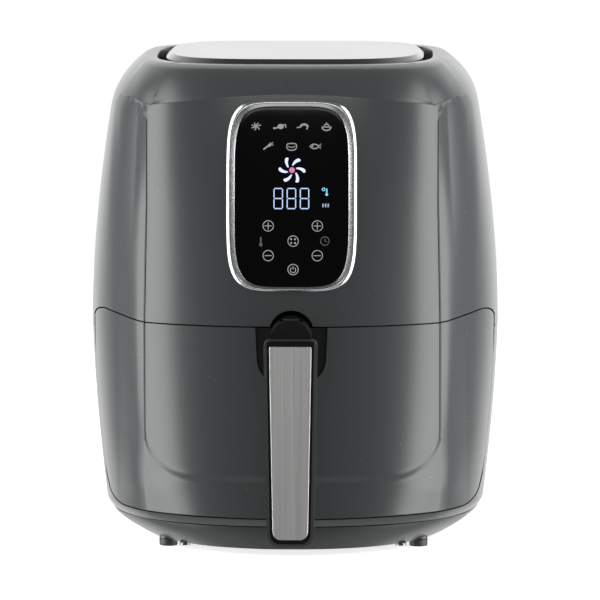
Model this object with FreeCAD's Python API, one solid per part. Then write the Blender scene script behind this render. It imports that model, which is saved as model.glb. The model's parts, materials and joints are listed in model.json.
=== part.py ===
import FreeCAD, Part
import math
import os

# Countertop air fryer with a pull-out drawer, as an assembly of separate pieces.
# Units are millimetres. +Z is up and the front, with the handle, faces -Y. The pieces are drawn
# about the vertical axis through the widest part of the body and moved by BODY_Y and BODY_Z when
# written, which puts the origin under the feet at the centre of the whole object's footprint.

V = FreeCAD.Vector
UP = V(0, 0, 1)

# ---- the body's form ----------------------------------------------------------------------
WIDEST_Z = 167.0          # height of the widest section
WIDEST = 152.4            # half-width there
FRONT = 1.083             # front half-depth over half-width
BACK = 0.98               # back half-depth over half-width
SHOULDER_Z = 319.0        # where the shoulder starts
RIM_Z = 358.0             # top of the rim
HEM_Z = 28.0              # where the lower edge of the housing starts to turn in
BASE_Z = 20.0             # joint between the housing and the base pan
FLOOR_Z = 2.4             # underside of the base pan
FEET_Z = -2.6             # underside of the feet
WALL = 2.6                # moulded wall
SHIELD = 1.5              # how far the raised front patch stands proud
BODY_Y = 30.62            # from the body's axis to the middle of the footprint
BODY_Z = -FEET_Z          # how far the pieces are raised so that the feet stand at height 0
SEAM_Z = 169.0            # top edge of the drawer front at its middle
SIDE_SEAM_Z = 163.0       # joint between the two housings at the sides and back
GAP = 1.0                 # gap round the drawer front
DRAWER_BACK = -40.0       # rear edge of the drawer front's sides
OPEN_A, OPEN_FRONT, OPEN_BACK = 102.8, 108.0, 104.0   # opening inside the rim
FOOT_PLACES = [(-93.0, -84.0), (93.0, -84.0), (-88.0, 82.0), (88.0, 82.0)]
BOSS_PLACES = [(-80.0, -105.0), (80.0, -105.0), (-80.0, 92.0), (80.0, 92.0)]

# ---- control panel ------------------------------------------------------------------------
GLASS_X, GLASS_Z, GLASS_MID = 41.5, 65.2, 264.6
BEZEL_X, BEZEL_Z, BEZEL_MID = 47.9, 70.0, 265.4
PANEL_SQUARE = 5.0
BOARD_TILT = 7.0          # lean of the display board, degrees
BOARD_Y, BOARD_Z = -141.0, 265.0

# ---- chamber, pan and basket --------------------------------------------------------------
SHEET = 1.2
FRAME_Y = -84.0           # front face of the front frame
LINER_HALF, LINER_BACK = 121.3, 113.2
PAN_HALF, PAN_FRONT, PAN_BACK, PAN_CORNER = 116.0, -122.0, 108.0, 52.0
PAN_Z, PAN_TOP = 32.0, 160.3
BASKET_GAP = 6.0
BASKET_Z, BASKET_TOP = 38.0, 161.6
FAN_Y = -7.0              # axis of the motor and both fans
ELEMENT_Z, ELEMENT_R, TUBE_R, COIL_PITCH = 188.0, 58.0, 3.2, 9.5
HOOD_R, FLANGE_R, HOOD_TOP = 104.2, 107.0, 222.0
DECK_Z = 242.0

# ---- handle, button and latch -------------------------------------------------------------
NECK_Z, NECK_R, NECK_WALL = 163.0, 15.0, 2.5
NECK_FLOOR = 149.5
NECK_FRONT, NECK_BACK = -198.0, -116.1
GRIP_FRONT, GRIP_BACK = -212.0, -189.0
BUTTON_Y, BUTTON_R, BUTTON_TOP = -175.0, 6.0, 171.5
SLOPE_Y = -175.9          # foot of the latch bolt's ramp
SPRING_Z = 158.9
SWITCH_X, SWITCH_Z = 125.0, 140.0


# ---- outline helpers ----------------------------------------------------------------------
def face_width(z):
    """Half-width of the body at height z, with the sides carried on past the shoulder."""
    if z >= WIDEST_Z:
        return WIDEST - 14.6 * ((z - WIDEST_Z) / 152.0) ** 1.7
    if z >= HEM_Z:
        return WIDEST - 10.5 * ((WIDEST_Z - z) / 139.0) ** 1.6
    return 141.9 - 4.4 * ((HEM_Z - z) / 8.0) ** 1.7


def half_width(z):
    """Half-width of the housing at height z, shoulder included."""
    if z < SHOULDER_Z:
        return face_width(z)
    rise = z - SHOULDER_Z
    return 137.8 - 0.163 * rise - 15.6 * (rise / 36.0) ** 2.5


def squareness(z):
    """Exponent of the front half of the plan: 2 is an ellipse, more is squarer."""
    return 2.25 + 1.05 * (max(0.0, z - 170.0) / 188.0) ** 1.5


def superellipse(a, b_low, b_high, n_low, n_high, place):
    """Closed superellipse whose lower and upper halves may differ. place puts it in space."""
    edges = []
    for k in range(4):
        b, n = (b_high, n_high) if k < 2 else (b_low, n_low)
        points = []
        for i in range(9):
            turn = math.pi / 2 * (k + i / 8.0)
            c, s = math.cos(turn), math.sin(turn)
            r = (abs(c / a) ** n + abs(s / b) ** n) ** (-1.0 / n)
            points.append(place(r * c, r * s))
        middle = place(0, 0)
        tangents = []
        for turn in (math.pi / 2 * k, math.pi / 2 * (k + 1)):
            ahead = place(-math.sin(turn), math.cos(turn)) - middle
            radius = (points[0] if not tangents else points[-1]) - middle
            tangents.append(ahead * (radius.Length * math.pi / 2))
        curve = Part.BSplineCurve()
        curve.interpolate(
            Points=points,
            Parameters=[i / 8.0 for i in range(9)],
            InitialTangent=tangents[0],
            FinalTangent=tangents[1],
        )
        edges.append(curve.toShape())
    return Part.Wire(edges)


def in_plan(z):
    return lambda u, v: V(u, v, z)


def in_front(y):
    return lambda u, v: V(u, y, v)


def in_side(x):
    return lambda u, v: V(x, u, v)


def rounded_polygon(corners, place, grow=0.0):
    """Closed wire through corners (u, v, radius), anticlockwise. grow moves every side out."""
    count = len(corners)
    points = [V(u, v, 0) for u, v, _ in corners]
    radii = [r for _, _, r in corners]
    if grow:
        moved = []
        for i in range(count):
            before = (points[i] - points[i - 1]).normalize()
            after = (points[(i + 1) % count] - points[i]).normalize()
            bend = V(before.y + after.y, -before.x - after.x, 0)
            moved.append(points[i] + bend * (2.0 * grow / bend.dot(bend)))
            turn = 1 if before.cross(after).z > 0 else -1
            radii[i] = max(0.0, radii[i] + turn * grow) if radii[i] else 0.0
        points = moved
    ends = []
    for i in range(count):
        if not radii[i]:
            ends.append((points[i], None, points[i]))
            continue
        back = (points[i - 1] - points[i]).normalize()
        ahead = (points[(i + 1) % count] - points[i]).normalize()
        half = back.getAngle(ahead) / 2
        centre = points[i] + (back + ahead).normalize() * (radii[i] / math.sin(half))
        middle = centre + (points[i] - centre).normalize() * radii[i]
        reach = radii[i] / math.tan(half)
        ends.append((points[i] + back * reach, middle, points[i] + ahead * reach))
    edges = []
    for i in range(count):
        first, middle, last = ends[i]
        if middle is not None:
            edges.append(Part.Arc(*[place(p.x, p.y) for p in (first, middle, last)]).toShape())
        following = ends[(i + 1) % count][0]
        edges.append(Part.makeLine(place(last.x, last.y), place(following.x, following.y)))
    return Part.Wire(edges)


def rounded_box_wire(x0, x1, y0, y1, radius, z):
    corners = [(x0, y0, radius), (x1, y0, radius), (x1, y1, radius), (x0, y1, radius)]
    return rounded_polygon(corners, in_plan(z))


def plan_wire(z, inset, a=None, front=None, back=None, n=None):
    """Plan section of the housing at height z, moved in by inset."""
    a = half_width(z) if a is None else a
    front = a * FRONT if front is None else front
    back = a * BACK if back is None else back
    n = squareness(z) if n is None else n
    return superellipse(a - inset, front - inset, back - inset, n, n + 0.5, in_plan(z))


def loft(wires, ruled=False):
    return Part.makeLoft(wires, True, ruled)


def housing_solid(inset, top=RIM_Z, bottom=BASE_Z):
    """The housing's solid form, moved in by inset."""
    levels = [bottom, 24.0, HEM_Z, 45.0, 75.0, 110.0, WIDEST_Z, 210.0, 250.0, 290.0,
              SHOULDER_Z, 333.0, 343.0, 351.0, top]
    return loft([plan_wire(z, inset) for z in levels])


def face_solid(out):
    """The body's form without its shoulder, moved out: the front patch and panel follow it."""
    levels = [50.0, 75.0, 110.0, WIDEST_Z, 210.0, 250.0, 290.0, 320.0, 345.0]
    return loft([plan_wire(z, -out, face_width(z)) for z in levels])


def level_prism(a, front, back, low, high, n=3.3):
    return slab(plan_wire(low, 0.0, a, front, back, n), V(0, 0, high - low))


def slab(wire, along):
    return Part.Face(wire).extrude(along)


def polygon_slab(points, along):
    return slab(Part.makePolygon(points + points[:1]), along)


def box(x0, x1, y0, y1, z0, z1):
    return Part.makeBox(x1 - x0, y1 - y0, z1 - z0, V(x0, y0, z0))


def rod(radius, start, end):
    axis = V(*end) - V(*start)
    return Part.makeCylinder(radius, axis.Length, V(*start), axis)


def tube(outer, inner, start, end):
    return rod(outer, start, end).cut(rod(inner, start, end))


def ring(radius, wire_radius, z):
    return Part.makeTorus(radius, wire_radius, V(0, FAN_Y, z), UP)


def joined(shapes):
    return shapes[0].multiFuse(shapes[1:]).removeSplitter()


def group(shapes):
    return Part.makeCompound(shapes)


def turned(shape, angle, axis=UP, centre=None):
    """Copy of a shape turned about the fans' axis, or about another centre."""
    copy = shape.copy()
    copy.rotate(V(0, FAN_Y, 0) if centre is None else centre, axis, angle)
    return copy


def around(shape, count, start=0.0):
    return [turned(shape, start + 360.0 * i / count) for i in range(count)]


def mirrored(shape):
    return shape.mirror(V(0, 0, 0), V(1, 0, 0))


def screw(head_radius, shank_radius, head, tip, thickness=2.0):
    """Pan-head screw: head is the centre of the head's underside, tip the end of the shank."""
    axis = (V(*tip) - V(*head)).normalize()
    top = V(*head) - axis * thickness
    cap = Part.makeCylinder(head_radius, thickness, top, axis)
    socket = Part.makeCylinder(head_radius * 0.45, thickness * 0.5, top, axis)
    return joined([cap.cut(socket), rod(shank_radius, head, tip)])


def cable(points, radius, bend=7.0):
    """Flexible lead: straight runs through the points, joined by arcs."""
    points = [V(*p) for p in points]
    edges, start = [], points[0]
    for i in range(1, len(points) - 1):
        back = (points[i - 1] - points[i]).normalize()
        ahead = (points[i + 1] - points[i]).normalize()
        half = back.getAngle(ahead) / 2
        centre = points[i] + (back + ahead).normalize() * (bend / math.sin(half))
        middle = centre + (points[i] - centre).normalize() * bend
        reach = bend / math.tan(half)
        into, out = points[i] + back * reach, points[i] + ahead * reach
        edges += [Part.makeLine(start, into), Part.Arc(into, middle, out).toShape()]
        start = out
    edges.append(Part.makeLine(start, points[-1]))
    section = Part.Wire(Part.makeCircle(radius, points[0], points[1] - points[0]))
    return Part.Wire(edges).makePipeShell([section], True, False)


# ---- shared forms -------------------------------------------------------------------------
def drawer_prism(grow):
    """Everything inside the drawer front's outline, seen from the front."""
    right = [(135.5, 27.5, 14.0), (141.5, 52.0, 90.0), (148.2, 110.0, 160.0),
             (149.0, 175.0, 9.0), (112.0, SEAM_Z, 30.0)]
    left = [(-x, z, r) for x, z, r in reversed(right)]
    wire = rounded_polygon([(0.0, 26.3, 0.0)] + right + left, in_front(-300), grow)
    return slab(wire, V(0, 300 + DRAWER_BACK + grow, 0))


def slot_prism(grow):
    """U-shaped slot in the drawer front that the handle's bracket fills."""
    corners = [(-24.2, 128, 18), (24.2, 128, 18), (26.5, 175, 0), (-26.5, 175, 0)]
    return slab(rounded_polygon(corners, in_front(-300), grow), V(0, 160, 0))


def shield_prism():
    """Outline of the raised front patch: straight sides, round lower corners, arched top."""
    side, low, high, arch, corner = 107.5, 56.0, 329.0, 9.6, 30.0
    place = in_front(-300)
    near = corner * (1 - math.sqrt(0.5))
    lower_right = (place(side - corner, low), place(side - near, low + near), place(side, low + corner))
    lower_left = [V(-p.x, p.y, p.z) for p in reversed(lower_right)]
    edges = [
        Part.makeLine(lower_left[2], lower_right[0]),
        Part.Arc(*lower_right).toShape(),
        Part.makeLine(lower_right[2], place(side, high)),
        Part.Arc(place(side, high), place(0, high + arch), place(-side, high)).toShape(),
        Part.makeLine(place(-side, high), lower_left[0]),
        Part.Arc(*lower_left).toShape(),
    ]
    return slab(Part.Wire(edges), V(0, 260, 0))


def panel_prism(half_x, half_z, middle_z):
    wire = superellipse(half_x, half_z, half_z, PANEL_SQUARE, PANEL_SQUARE,
                        lambda u, v: V(u, -300, middle_z + v))
    return slab(wire, V(0, 200, 0))


def above_side_seam(gap):
    """Everything above the joint between the two housings, which drops towards the drawer."""
    profile = [(-320, 154.0), (-60, 154.0), (-40, 157.0), (0, SIDE_SEAM_Z),
               (320, SIDE_SEAM_Z), (320, 500), (-320, 500)]
    return polygon_slab([V(-250, y, z + gap) for y, z in profile], V(500, 0, 0))


def neck_solid(grow):
    """Round-topped bar that carries the handle."""
    r = NECK_R + grow
    span = (NECK_FRONT - grow, NECK_BACK + grow)
    top = rod(r, (0, span[0], NECK_Z), (0, span[1], NECK_Z))
    return joined([top, box(-r, r, span[0], span[1], NECK_FLOOR - grow, NECK_Z)])


def pan_box(inset, low, high, grow=0.0):
    wire = rounded_box_wire(-PAN_HALF + inset - grow, PAN_HALF - inset + grow,
                            PAN_FRONT + inset - grow, PAN_BACK - inset + grow,
                            PAN_CORNER - inset + grow, low)
    return slab(wire, V(0, 0, high - low))


def tray_form(inset, low, high, radius):
    """Rounded box with a filleted floor."""
    solid = pan_box(inset, low, high)
    return solid.makeFillet(radius, [e for e in solid.Edges if abs(e.BoundBox.ZMax - low) < 1e-6])


def tilted(shape):
    """Lean a piece back with the control panel, about the display board's middle."""
    return turned(shape, BOARD_TILT, V(-1, 0, 0), V(0, BOARD_Y, BOARD_Z))


OUTER = housing_solid(0.0)
PATCH = face_solid(SHIELD).common(shield_prism())
SHELL = OUTER.fuse(PATCH).cut(housing_solid(WALL, RIM_Z - WALL, BASE_Z - 0.5))
INSIDE = housing_solid(WALL + 0.6, RIM_Z - WALL - 0.3, BASE_Z + 0.4)


# ---- housing ------------------------------------------------------------------------------
def upper_housing():
    collar = level_prism(OPEN_A + 2, OPEN_FRONT + 2, OPEN_BACK + 2, 338.0, RIM_Z - 1)
    notch = joined([rod(16.4, (0, -220, 165.5), (0, -120, 165.5)),
                    box(-16.4, 16.4, -220, -120, 150, 165.5)])
    shell = SHELL.common(above_side_seam(0.3)).cut(drawer_prism(GAP)).fuse(collar)
    shell = shell.cut(level_prism(OPEN_A, OPEN_FRONT, OPEN_BACK, 330.0, 380.0))
    shell = shell.cut(panel_prism(BEZEL_X - 2.6, BEZEL_Z - 2.6, BEZEL_MID))
    return shell.cut(notch).cut(box(-44.3, 44.3, 120, 160, 175.7, 222.3))


def lower_housing():
    below = box(-250, 250, -320, 320, BASE_Z + 0.2, 300).cut(above_side_seam(-0.3))
    shell = SHELL.common(below).cut(drawer_prism(GAP))
    bosses = []
    for x, y in BOSS_PLACES:
        wall = 60 if y > 0 else -60
        top = 27.0 if y > 0 else 25.0
        rib = box(x - 1.5, x + 1.5, min(y, y + wall), max(y, y + wall), BASE_Z + 0.4, top)
        bosses += [rod(5, (x, y, FLOOR_Z + 3.2), (x, y, top)), rib.common(OUTER)]
    shell = shell.fuse(bosses)
    holes = [rod(1.95, (x, y, 5), (x, y, 24)) for x, y in BOSS_PLACES]
    return shell.cut(group(holes)).cut(rod(8.2, (60, 100, 48), (60, 170, 48)))


def base_section(z, inset, height=0.0):
    turn = ((BASE_Z - z) / (BASE_Z - FLOOR_Z)) ** 1.5
    return superellipse(137.5 - 26 * turn - inset, 148.9 - 6 * turn - inset,
                        134.8 - 10 * turn - inset, 2.25, 2.6, in_plan(z + height))


def base_pan():
    levels = (19.4, 15.5, 11.0, 6.5, FLOOR_Z)
    outside = loft([base_section(z, 0.0) for z in levels])
    inside = loft([base_section(z, WALL, WALL if z == FLOOR_Z else 0.0) for z in (19.4, 14.0, FLOOR_Z)])
    slots = [box(-32, 32, -47 + 15 * row, -43 + 15 * row, 0, 30) for row in range(7)]
    bosses = [rod(6.8, (x, y, FLOOR_Z + 0.5), (x, y, 17.5)) for x, y in FOOT_PLACES]
    holes = [rod(2.1, (x, y, 0), (x, y, 9)) for x, y in BOSS_PLACES]
    holes += [rod(2.4, (x, y, 0), (x, y, FLOOR_Z + 7.0)) for x, y in FOOT_PLACES]
    lower = outside.cut(inside.common(box(-200, 200, -200, 200, FLOOR_Z + WALL, 40)))
    clear = [rod(5.3, (x, y, FLOOR_Z + WALL), (x, y, 30)) for x, y in BOSS_PLACES]
    return lower.fuse(bosses).cut(group(slots)).cut(group(holes)).cut(group(clear))


def rubber_feet():
    feet = []
    for x, y in FOOT_PLACES:
        pad = rod(6.8, (x, y, FEET_Z), (x, y, FLOOR_Z))
        pad = pad.makeFillet(0.8, [e for e in pad.Edges if e.BoundBox.ZMax < FEET_Z + 0.1])
        feet.append(joined([pad, rod(2.4, (x, y, FLOOR_Z), (x, y, FLOOR_Z + 7))]))
    return group(feet)


def top_panel():
    """Cover over the air inlet, with a bevelled edge."""
    def level(z, inset):
        return plan_wire(z, inset, 96.2, 100.5, 98.5, 3.4)

    skirt = loft([level(350.0, 0.0), level(357.2, 0.0)], True)
    bevel = loft([level(357.2, 0.0), level(360.8, 4.5)], True)
    inside = loft([level(349.0, 2.4), level(356.3, 2.4)], True)
    crown = loft([level(356.3, 2.4), level(358.4, 6.0)], True)
    return joined([skirt, bevel]).cut(inside).cut(crown)


def vent_tray():
    """Floor of the air inlet, slotted under the groove, with a ring that carries the cover."""
    plate = level_prism(OPEN_A - 0.3, OPEN_FRONT - 0.3, OPEN_BACK - 0.3, 339.0, 341.2)
    wall = level_prism(86, 90, 88, 341.0, 358.3, 3.4).cut(level_prism(83.5, 87.5, 85.5, 330.0, 370.0, 3.4))
    slots = []
    for i in range(40):
        turn = 2 * math.pi * i / 40
        r = ((abs(math.cos(turn)) / 94.5) ** 3.35 + (abs(math.sin(turn)) / 98) ** 3.35) ** (-1 / 3.35)
        slot = box(-3.2, 3.2, -1.6, 1.6, 330, 345)
        slot.rotate(V(0, 0, 0), UP, math.degrees(turn))
        slot.translate(V(r * math.cos(turn), r * math.sin(turn), 0))
        slots.append(slot)
    return plate.fuse(wall).cut(group(slots)).cut(rod(36, (0, 0, 330), (0, 0, 345)))


def front_frame():
    """Black moulding behind the drawer front: a bulkhead round the chamber mouth and a shelf."""
    corners = [(-119.9, 29.0, 9), (119.9, 29.0, 9), (119.9, 165.5, 9), (-119.9, 165.5, 9)]
    mouth = slab(rounded_polygon(corners, in_front(-200)), V(0, 200, 0))
    bulkhead = INSIDE.common(box(-250, 250, FRAME_Y, FRAME_Y + 2.5, BASE_Z + 0.6, 188.0)).cut(mouth)
    shelf = INSIDE.common(box(-250, 250, -250, FRAME_Y + 2.5, 186.0, 188.0))
    hood = rod(FLANGE_R + 0.6, (0, FAN_Y, 168.9), (0, FAN_Y, 230))
    x, z = SWITCH_X, SWITCH_Z
    slot = box(x - 2.7, x + 2.7, FRAME_Y - 1, FRAME_Y + 4, z - 3.5, z + 3.5)
    return joined([bulkhead, shelf]).cut(slot).cut(hood)


def liner_wire(z, inset):
    half, back, corner = LINER_HALF - inset, LINER_BACK - inset, 46 - inset
    corners = [(-half, FRAME_Y + 2.7, 0), (half, FRAME_Y + 2.7, 0), (half, back, corner),
               (-half, back, corner)]
    return rounded_polygon(corners, in_plan(z))


def chamber_liner():
    """Sheet-metal box round the pan, open to the front and top."""
    outside = slab(liner_wire(28.0, 0.0), V(0, 0, 141.0))
    inside = slab(liner_wire(28.0 + SHEET, SHEET), V(0, 0, 141.0))
    mouth = box(-LINER_HALF + SHEET, LINER_HALF - SHEET, -90, -70, 28.0 + SHEET, 170)
    return outside.cut(inside).cut(mouth)


def pan_guides():
    """Runners on the chamber floor that carry the pan."""
    guides = []
    for x in (-62, 62):
        bar = box(x - 5, x + 5, -76, 100, 28.0 + SHEET, 31.6)
        guides.append(bar.makeChamfer(1.2, [e for e in bar.Edges if e.BoundBox.ZMin > 31.5]))
    return group(guides)


def chamber_ceiling():
    plate = slab(liner_wire(169.1, 0.0), V(0, 0, SHEET))
    bow = rod(FLANGE_R, (0, FAN_Y, 169.1), (0, FAN_Y, 169.1 + SHEET))
    return joined([plate, bow]).cut(rod(101, (0, FAN_Y, 160), (0, FAN_Y, 180)))


def heater_hood():
    """Round steel bowl over the heating element, with a rear outlet for the hot air."""
    low = 170.4
    profile = [(103, low), (FLANGE_R, low), (FLANGE_R, low + SHEET), (HOOD_R, low + SHEET), (HOOD_R, 210),
               (92.5, HOOD_TOP), (7, HOOD_TOP), (7, HOOD_TOP - SHEET), (92, HOOD_TOP - SHEET),
               (103, 209.4)]
    points = [V(u, 0, v) for u, v in profile]
    bowl = Part.Face(Part.makePolygon(points + points[:1])).revolve(V(0, 0, 0), UP, 360)
    bowl.translate(V(0, FAN_Y, 0))
    holes = [
        box(-33, 33, 80, 110, 184.5, 206.0),
        rod(4.0, (95, FAN_Y, ELEMENT_Z + 6.8), (115, FAN_Y, ELEMENT_Z + 6.8)),
        rod(4.0, (95, FAN_Y - 17, ELEMENT_Z), (115, FAN_Y - 17, ELEMENT_Z)),
        turned(rod(2.6, (95, FAN_Y, 190), (115, FAN_Y, 190)), 120),
    ]
    return bowl.cut(group(holes))


def heating_element():
    """Flat coil of tube made of half turns, with two leads through the side of the hood."""
    pieces = []
    halves = 6
    for i in range(halves):
        radius = ELEMENT_R + COIL_PITCH / 2 * i
        middle = 0.0 if i % 2 == 0 else COIL_PITCH / 2
        side = 1 if i % 2 == 0 else -1
        section = Part.Wire(Part.makeCircle(TUBE_R, V(middle + side * radius, 0, ELEMENT_Z), V(0, 1, 0)))
        sweep = 180 if i < halves - 1 else 168
        pieces.append(Part.Face(section).revolve(V(middle, 0, 0), UP, sweep))
    coil = pieces[0].multiFuse(pieces[1:])
    end_y = -17.0
    end_x = COIL_PITCH / 2 + 81.75 * math.cos(math.radians(12))
    upper = ELEMENT_Z + 6.8
    leads = [
        rod(4.2, (ELEMENT_R, 0, ELEMENT_Z - 3.6), (ELEMENT_R, 0, upper + 3.6)),
        rod(TUBE_R, (ELEMENT_R, 0, upper), (111, 0, upper)),
        rod(4.2, (end_x, end_y, ELEMENT_Z - 3.6), (end_x, end_y, ELEMENT_Z + 3.6)),
        rod(TUBE_R, (end_x, end_y, ELEMENT_Z), (111, end_y, ELEMENT_Z)),
        rod(1.4, (110, 0, upper), (120, 0, upper)),
        rod(1.4, (110, end_y, ELEMENT_Z), (120, end_y, ELEMENT_Z)),
    ]
    whole = coil.multiFuse(leads)
    whole.translate(V(0, FAN_Y, 0))
    return whole


def element_supports():
    """Three bars on the hood wall that hold the coil from below."""
    bar = box(54, 102.6, FAN_Y - 3, FAN_Y + 3, ELEMENT_Z - 5.8, ELEMENT_Z - 4.4)
    tab = box(101.2, 102.6, FAN_Y - 3, FAN_Y + 3, ELEMENT_Z - 14, ELEMENT_Z - 4.4)
    return group(around(joined([bar, tab]), 3, 60))


def element_guard():
    """Wire guard under the heating element."""
    rings = [ring(r, 1.25, 177.0) for r in (26, 44, 62, 80, 98)]
    spokes = around(rod(1.25, (25, FAN_Y, 178.9), (102, FAN_Y, 178.9)), 6, 15)
    return joined(rings + spokes)


def temperature_sensor():
    bulb = joined([rod(2.3, (93, FAN_Y, 190), (114, FAN_Y, 190)),
                   rod(4.5, (104.8, FAN_Y, 190), (107.5, FAN_Y, 190))])
    return turned(bulb, 120)


def thermal_cutout():
    x, y = 64, FAN_Y - 12
    can = joined([rod(8, (x, y, HOOD_TOP + 0.1), (x, y, HOOD_TOP + 8)),
                  box(x - 12, x + 12, y - 4, y + 4, HOOD_TOP + 0.1, HOOD_TOP + 1.3)])
    return joined([can, box(x - 6, x - 4.8, y - 3, y + 3, HOOD_TOP + 8, HOOD_TOP + 15),
                   box(x + 4.8, x + 6, y - 3, y + 3, HOOD_TOP + 8, HOOD_TOP + 15)])


def exhaust_duct():
    """Rectangular duct from the hood to the rear grille."""
    outer = box(-36, 36, 80, 143.0, 181.5, 209.0)
    inner = box(-34.8, 34.8, 70, 150, 182.7, 207.8)
    return outer.cut(inner).cut(rod(HOOD_R + 0.4, (0, FAN_Y, 170), (0, FAN_Y, 230)))


def rear_vent_grille():
    block = box(-44, 44, 130, 170, 176, 222).common(housing_solid(-1.5)).cut(housing_solid(2.4))
    slots = [box(-37, 37, 120, 170, 181.0 + 7.2 * i, 184.4 + 7.2 * i) for i in range(6)]
    rib = box(-1.5, 1.5, 143.6, 149, 177, 221)
    return block.cut(group(slots)).fuse(rib)


def deck():
    """Shelf above the hood that carries the motor and the electronics."""
    plate = INSIDE.common(box(-250, 250, -112, 250, DECK_Z, DECK_Z + 2.2))
    plate = plate.cut(rod(50, (0, FAN_Y, 200), (0, FAN_Y, 300)))
    posts = [rod(4, (x, FAN_Y + y, HOOD_TOP), (x, FAN_Y + y, DECK_Z + 1))
             for x in (-68, 68) for y in (-45, 45)]
    vents = [box(x, x + 4, 92, 122, 230, 250) for x in (-30, -18, -6, 6, 18)]
    leads = [rod(6, (x, y, 230), (x, y, 250)) for x, y in ((62, 122), (128, -3))]
    return plate.fuse(posts).cut(group(vents)).cut(group(leads))


def motor_bracket():
    z = DECK_Z + 2.2
    cross = joined([box(-62, 62, FAN_Y - 12, FAN_Y + 12, z, z + 2),
                    box(-12, 12, FAN_Y - 60, FAN_Y + 60, z, z + 2)])
    legs = [rod(2.6, (x, FAN_Y + y, z + 2), (x, FAN_Y + y, 256)) for x in (-26, 26) for y in (-9, 9)]
    holes = [rod(2.2, (x, FAN_Y, 230), (x, FAN_Y, 250)) for x in (-57, 57)]
    return joined([cross] + legs).cut(rod(6.6, (0, FAN_Y, 230), (0, FAN_Y, 260))).cut(group(holes))


def motor_stator():
    """Laminated core of the shaded-pole motor."""
    core = box(-32, 32, FAN_Y - 20, FAN_Y + 38, 256, 276)
    core = core.cut(box(-20, 20, FAN_Y + 19, FAN_Y + 27, 250, 280))
    core = core.cut(rod(14.5, (0, FAN_Y, 250), (0, FAN_Y, 280)))
    return core.makeFillet(3, [e for e in core.Edges if abs(abs(e.CenterOfMass.x) - 32) < 1e-6
                               and e.BoundBox.ZLength > 19])


def motor_coil():
    """Winding round the long leg of the core."""
    outer = box(-19, 19, FAN_Y + 19.6, FAN_Y + 46, 249, 283)
    outer = outer.makeFillet(4, [e for e in outer.Edges if e.BoundBox.XLength > 30])
    return outer.cut(box(-20, 20, FAN_Y + 27, FAN_Y + 38, 255.9, 276.1))


def motor_bearings():
    """Upper and lower bearing, each in its carrier."""
    lower = tube(6.5, 3.05, (0, FAN_Y, DECK_Z + 1.2), (0, FAN_Y, 252))
    bridge = box(-30, 30, FAN_Y - 8, FAN_Y + 8, 281, 283).fuse(rod(8, (0, FAN_Y, 281), (0, FAN_Y, 287)))
    legs = [rod(2.6, (x, FAN_Y, 276), (x, FAN_Y, 281)) for x in (-26, 26)]
    upper = joined([bridge] + legs).cut(rod(3.05, (0, FAN_Y, 270), (0, FAN_Y, 290)))
    return group([lower, upper])


def fan_shaft():
    return rod(3, (0, FAN_Y, 192), (0, FAN_Y, 290))


def motor_rotor():
    return tube(14.0, 3.0, (0, FAN_Y, 254), (0, FAN_Y, 278.5))


def convection_fan():
    """Fan that drives hot air past the element: a disc with blades bent down all round."""
    disc = tube(84, 3.0, (0, FAN_Y, 214.4), (0, FAN_Y, 215.6))
    hub = tube(9, 3.0, (0, FAN_Y, 206), (0, FAN_Y, 214.4))
    blade = box(36, 83, FAN_Y - 0.6, FAN_Y + 0.6, 200.5, 214.6)
    blade = turned(blade, 22, UP, V(36, FAN_Y, 0))
    trimmed = blade.common(rod(84, (0, FAN_Y, 190), (0, FAN_Y, 230)))
    return joined([disc, hub] + around(trimmed, 14))


def fan_nut():
    corners = [V(7 * math.cos(math.radians(a)), FAN_Y + 7 * math.sin(math.radians(a)), 199)
               for a in range(0, 360, 60)]
    return polygon_slab(corners, V(0, 0, 7)).cut(rod(3.0, (0, FAN_Y, 190), (0, FAN_Y, 210)))


def cooling_fan():
    """Fan above the hood that keeps the motor and boards cool."""
    hub = tube(12, 3.0, (0, FAN_Y, 227), (0, FAN_Y, 239))
    blade = box(10, 42, FAN_Y - 9, FAN_Y + 9, 232.4, 233.6)
    blade = turned(blade, 28, V(1, 0, 0), V(0, FAN_Y, 233))
    blade = blade.makeFillet(0.5, [e for e in blade.Edges if e.BoundBox.XLength < 0.1
                                   and e.BoundBox.YLength < 2])
    return joined([hub] + around(blade, 7))


def display_board():
    y, z = BOARD_Y, BOARD_Z
    return tilted(box(-39, 39, y, y + 1.6, z - 62, z + 62))


def display_parts():
    """Number display and indicator block on the front of the display board."""
    y, z = BOARD_Y, BOARD_Z
    number = box(-24, 24, y - 5, y, z + 4, z + 26)
    modes = box(-34, 34, y - 4, y, z + 32, z + 60)
    return group([tilted(number), tilted(modes)])


def touch_springs():
    """Contact springs behind the touch keys, and the one for the power key."""
    y, z = BOARD_Y, BOARD_Z
    places = [(-18.5, -8), (18.5, -8), (0, -21), (-18.5, -32), (18.5, -32), (0, -45)]
    return group([tilted(tube(4.2, 3.2, (x, y - 4.5, z + h), (x, y, z + h))) for x, h in places])


def display_carrier():
    """Plastic tray behind the display board, hooked to the housing."""
    y, z = BOARD_Y, BOARD_Z
    tray = box(-42, 42, y + 1.9, y + 12, z - 65, z + 65)
    tray = tray.cut(box(-40, 40, y, y + 10, z - 63, z + 63))
    posts = [rod(3, (x, y + 1.7, z + h), (x, y + 11, z + h)) for x in (-34, 34) for h in (-56, 56)]
    holes = [rod(1.3, (x, y, z + h), (x, y + 8, z + h)) for x in (-34, 34) for h in (-56, 56)]
    return tilted(joined([tray] + posts).cut(group(holes)))


def panel_bezel():
    """Bright ring round the control panel, seated on the front patch."""
    proud = face_solid(SHIELD + 2.4)
    flange = panel_prism(BEZEL_X, BEZEL_Z, BEZEL_MID).common(proud).cut(face_solid(SHIELD + 0.05))
    stem = panel_prism(BEZEL_X - 2.9, BEZEL_Z - 2.9, BEZEL_MID).common(proud).cut(face_solid(-2.6))
    return flange.fuse(stem).cut(panel_prism(GLASS_X + 0.2, GLASS_Z + 0.2, GLASS_MID))


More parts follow.
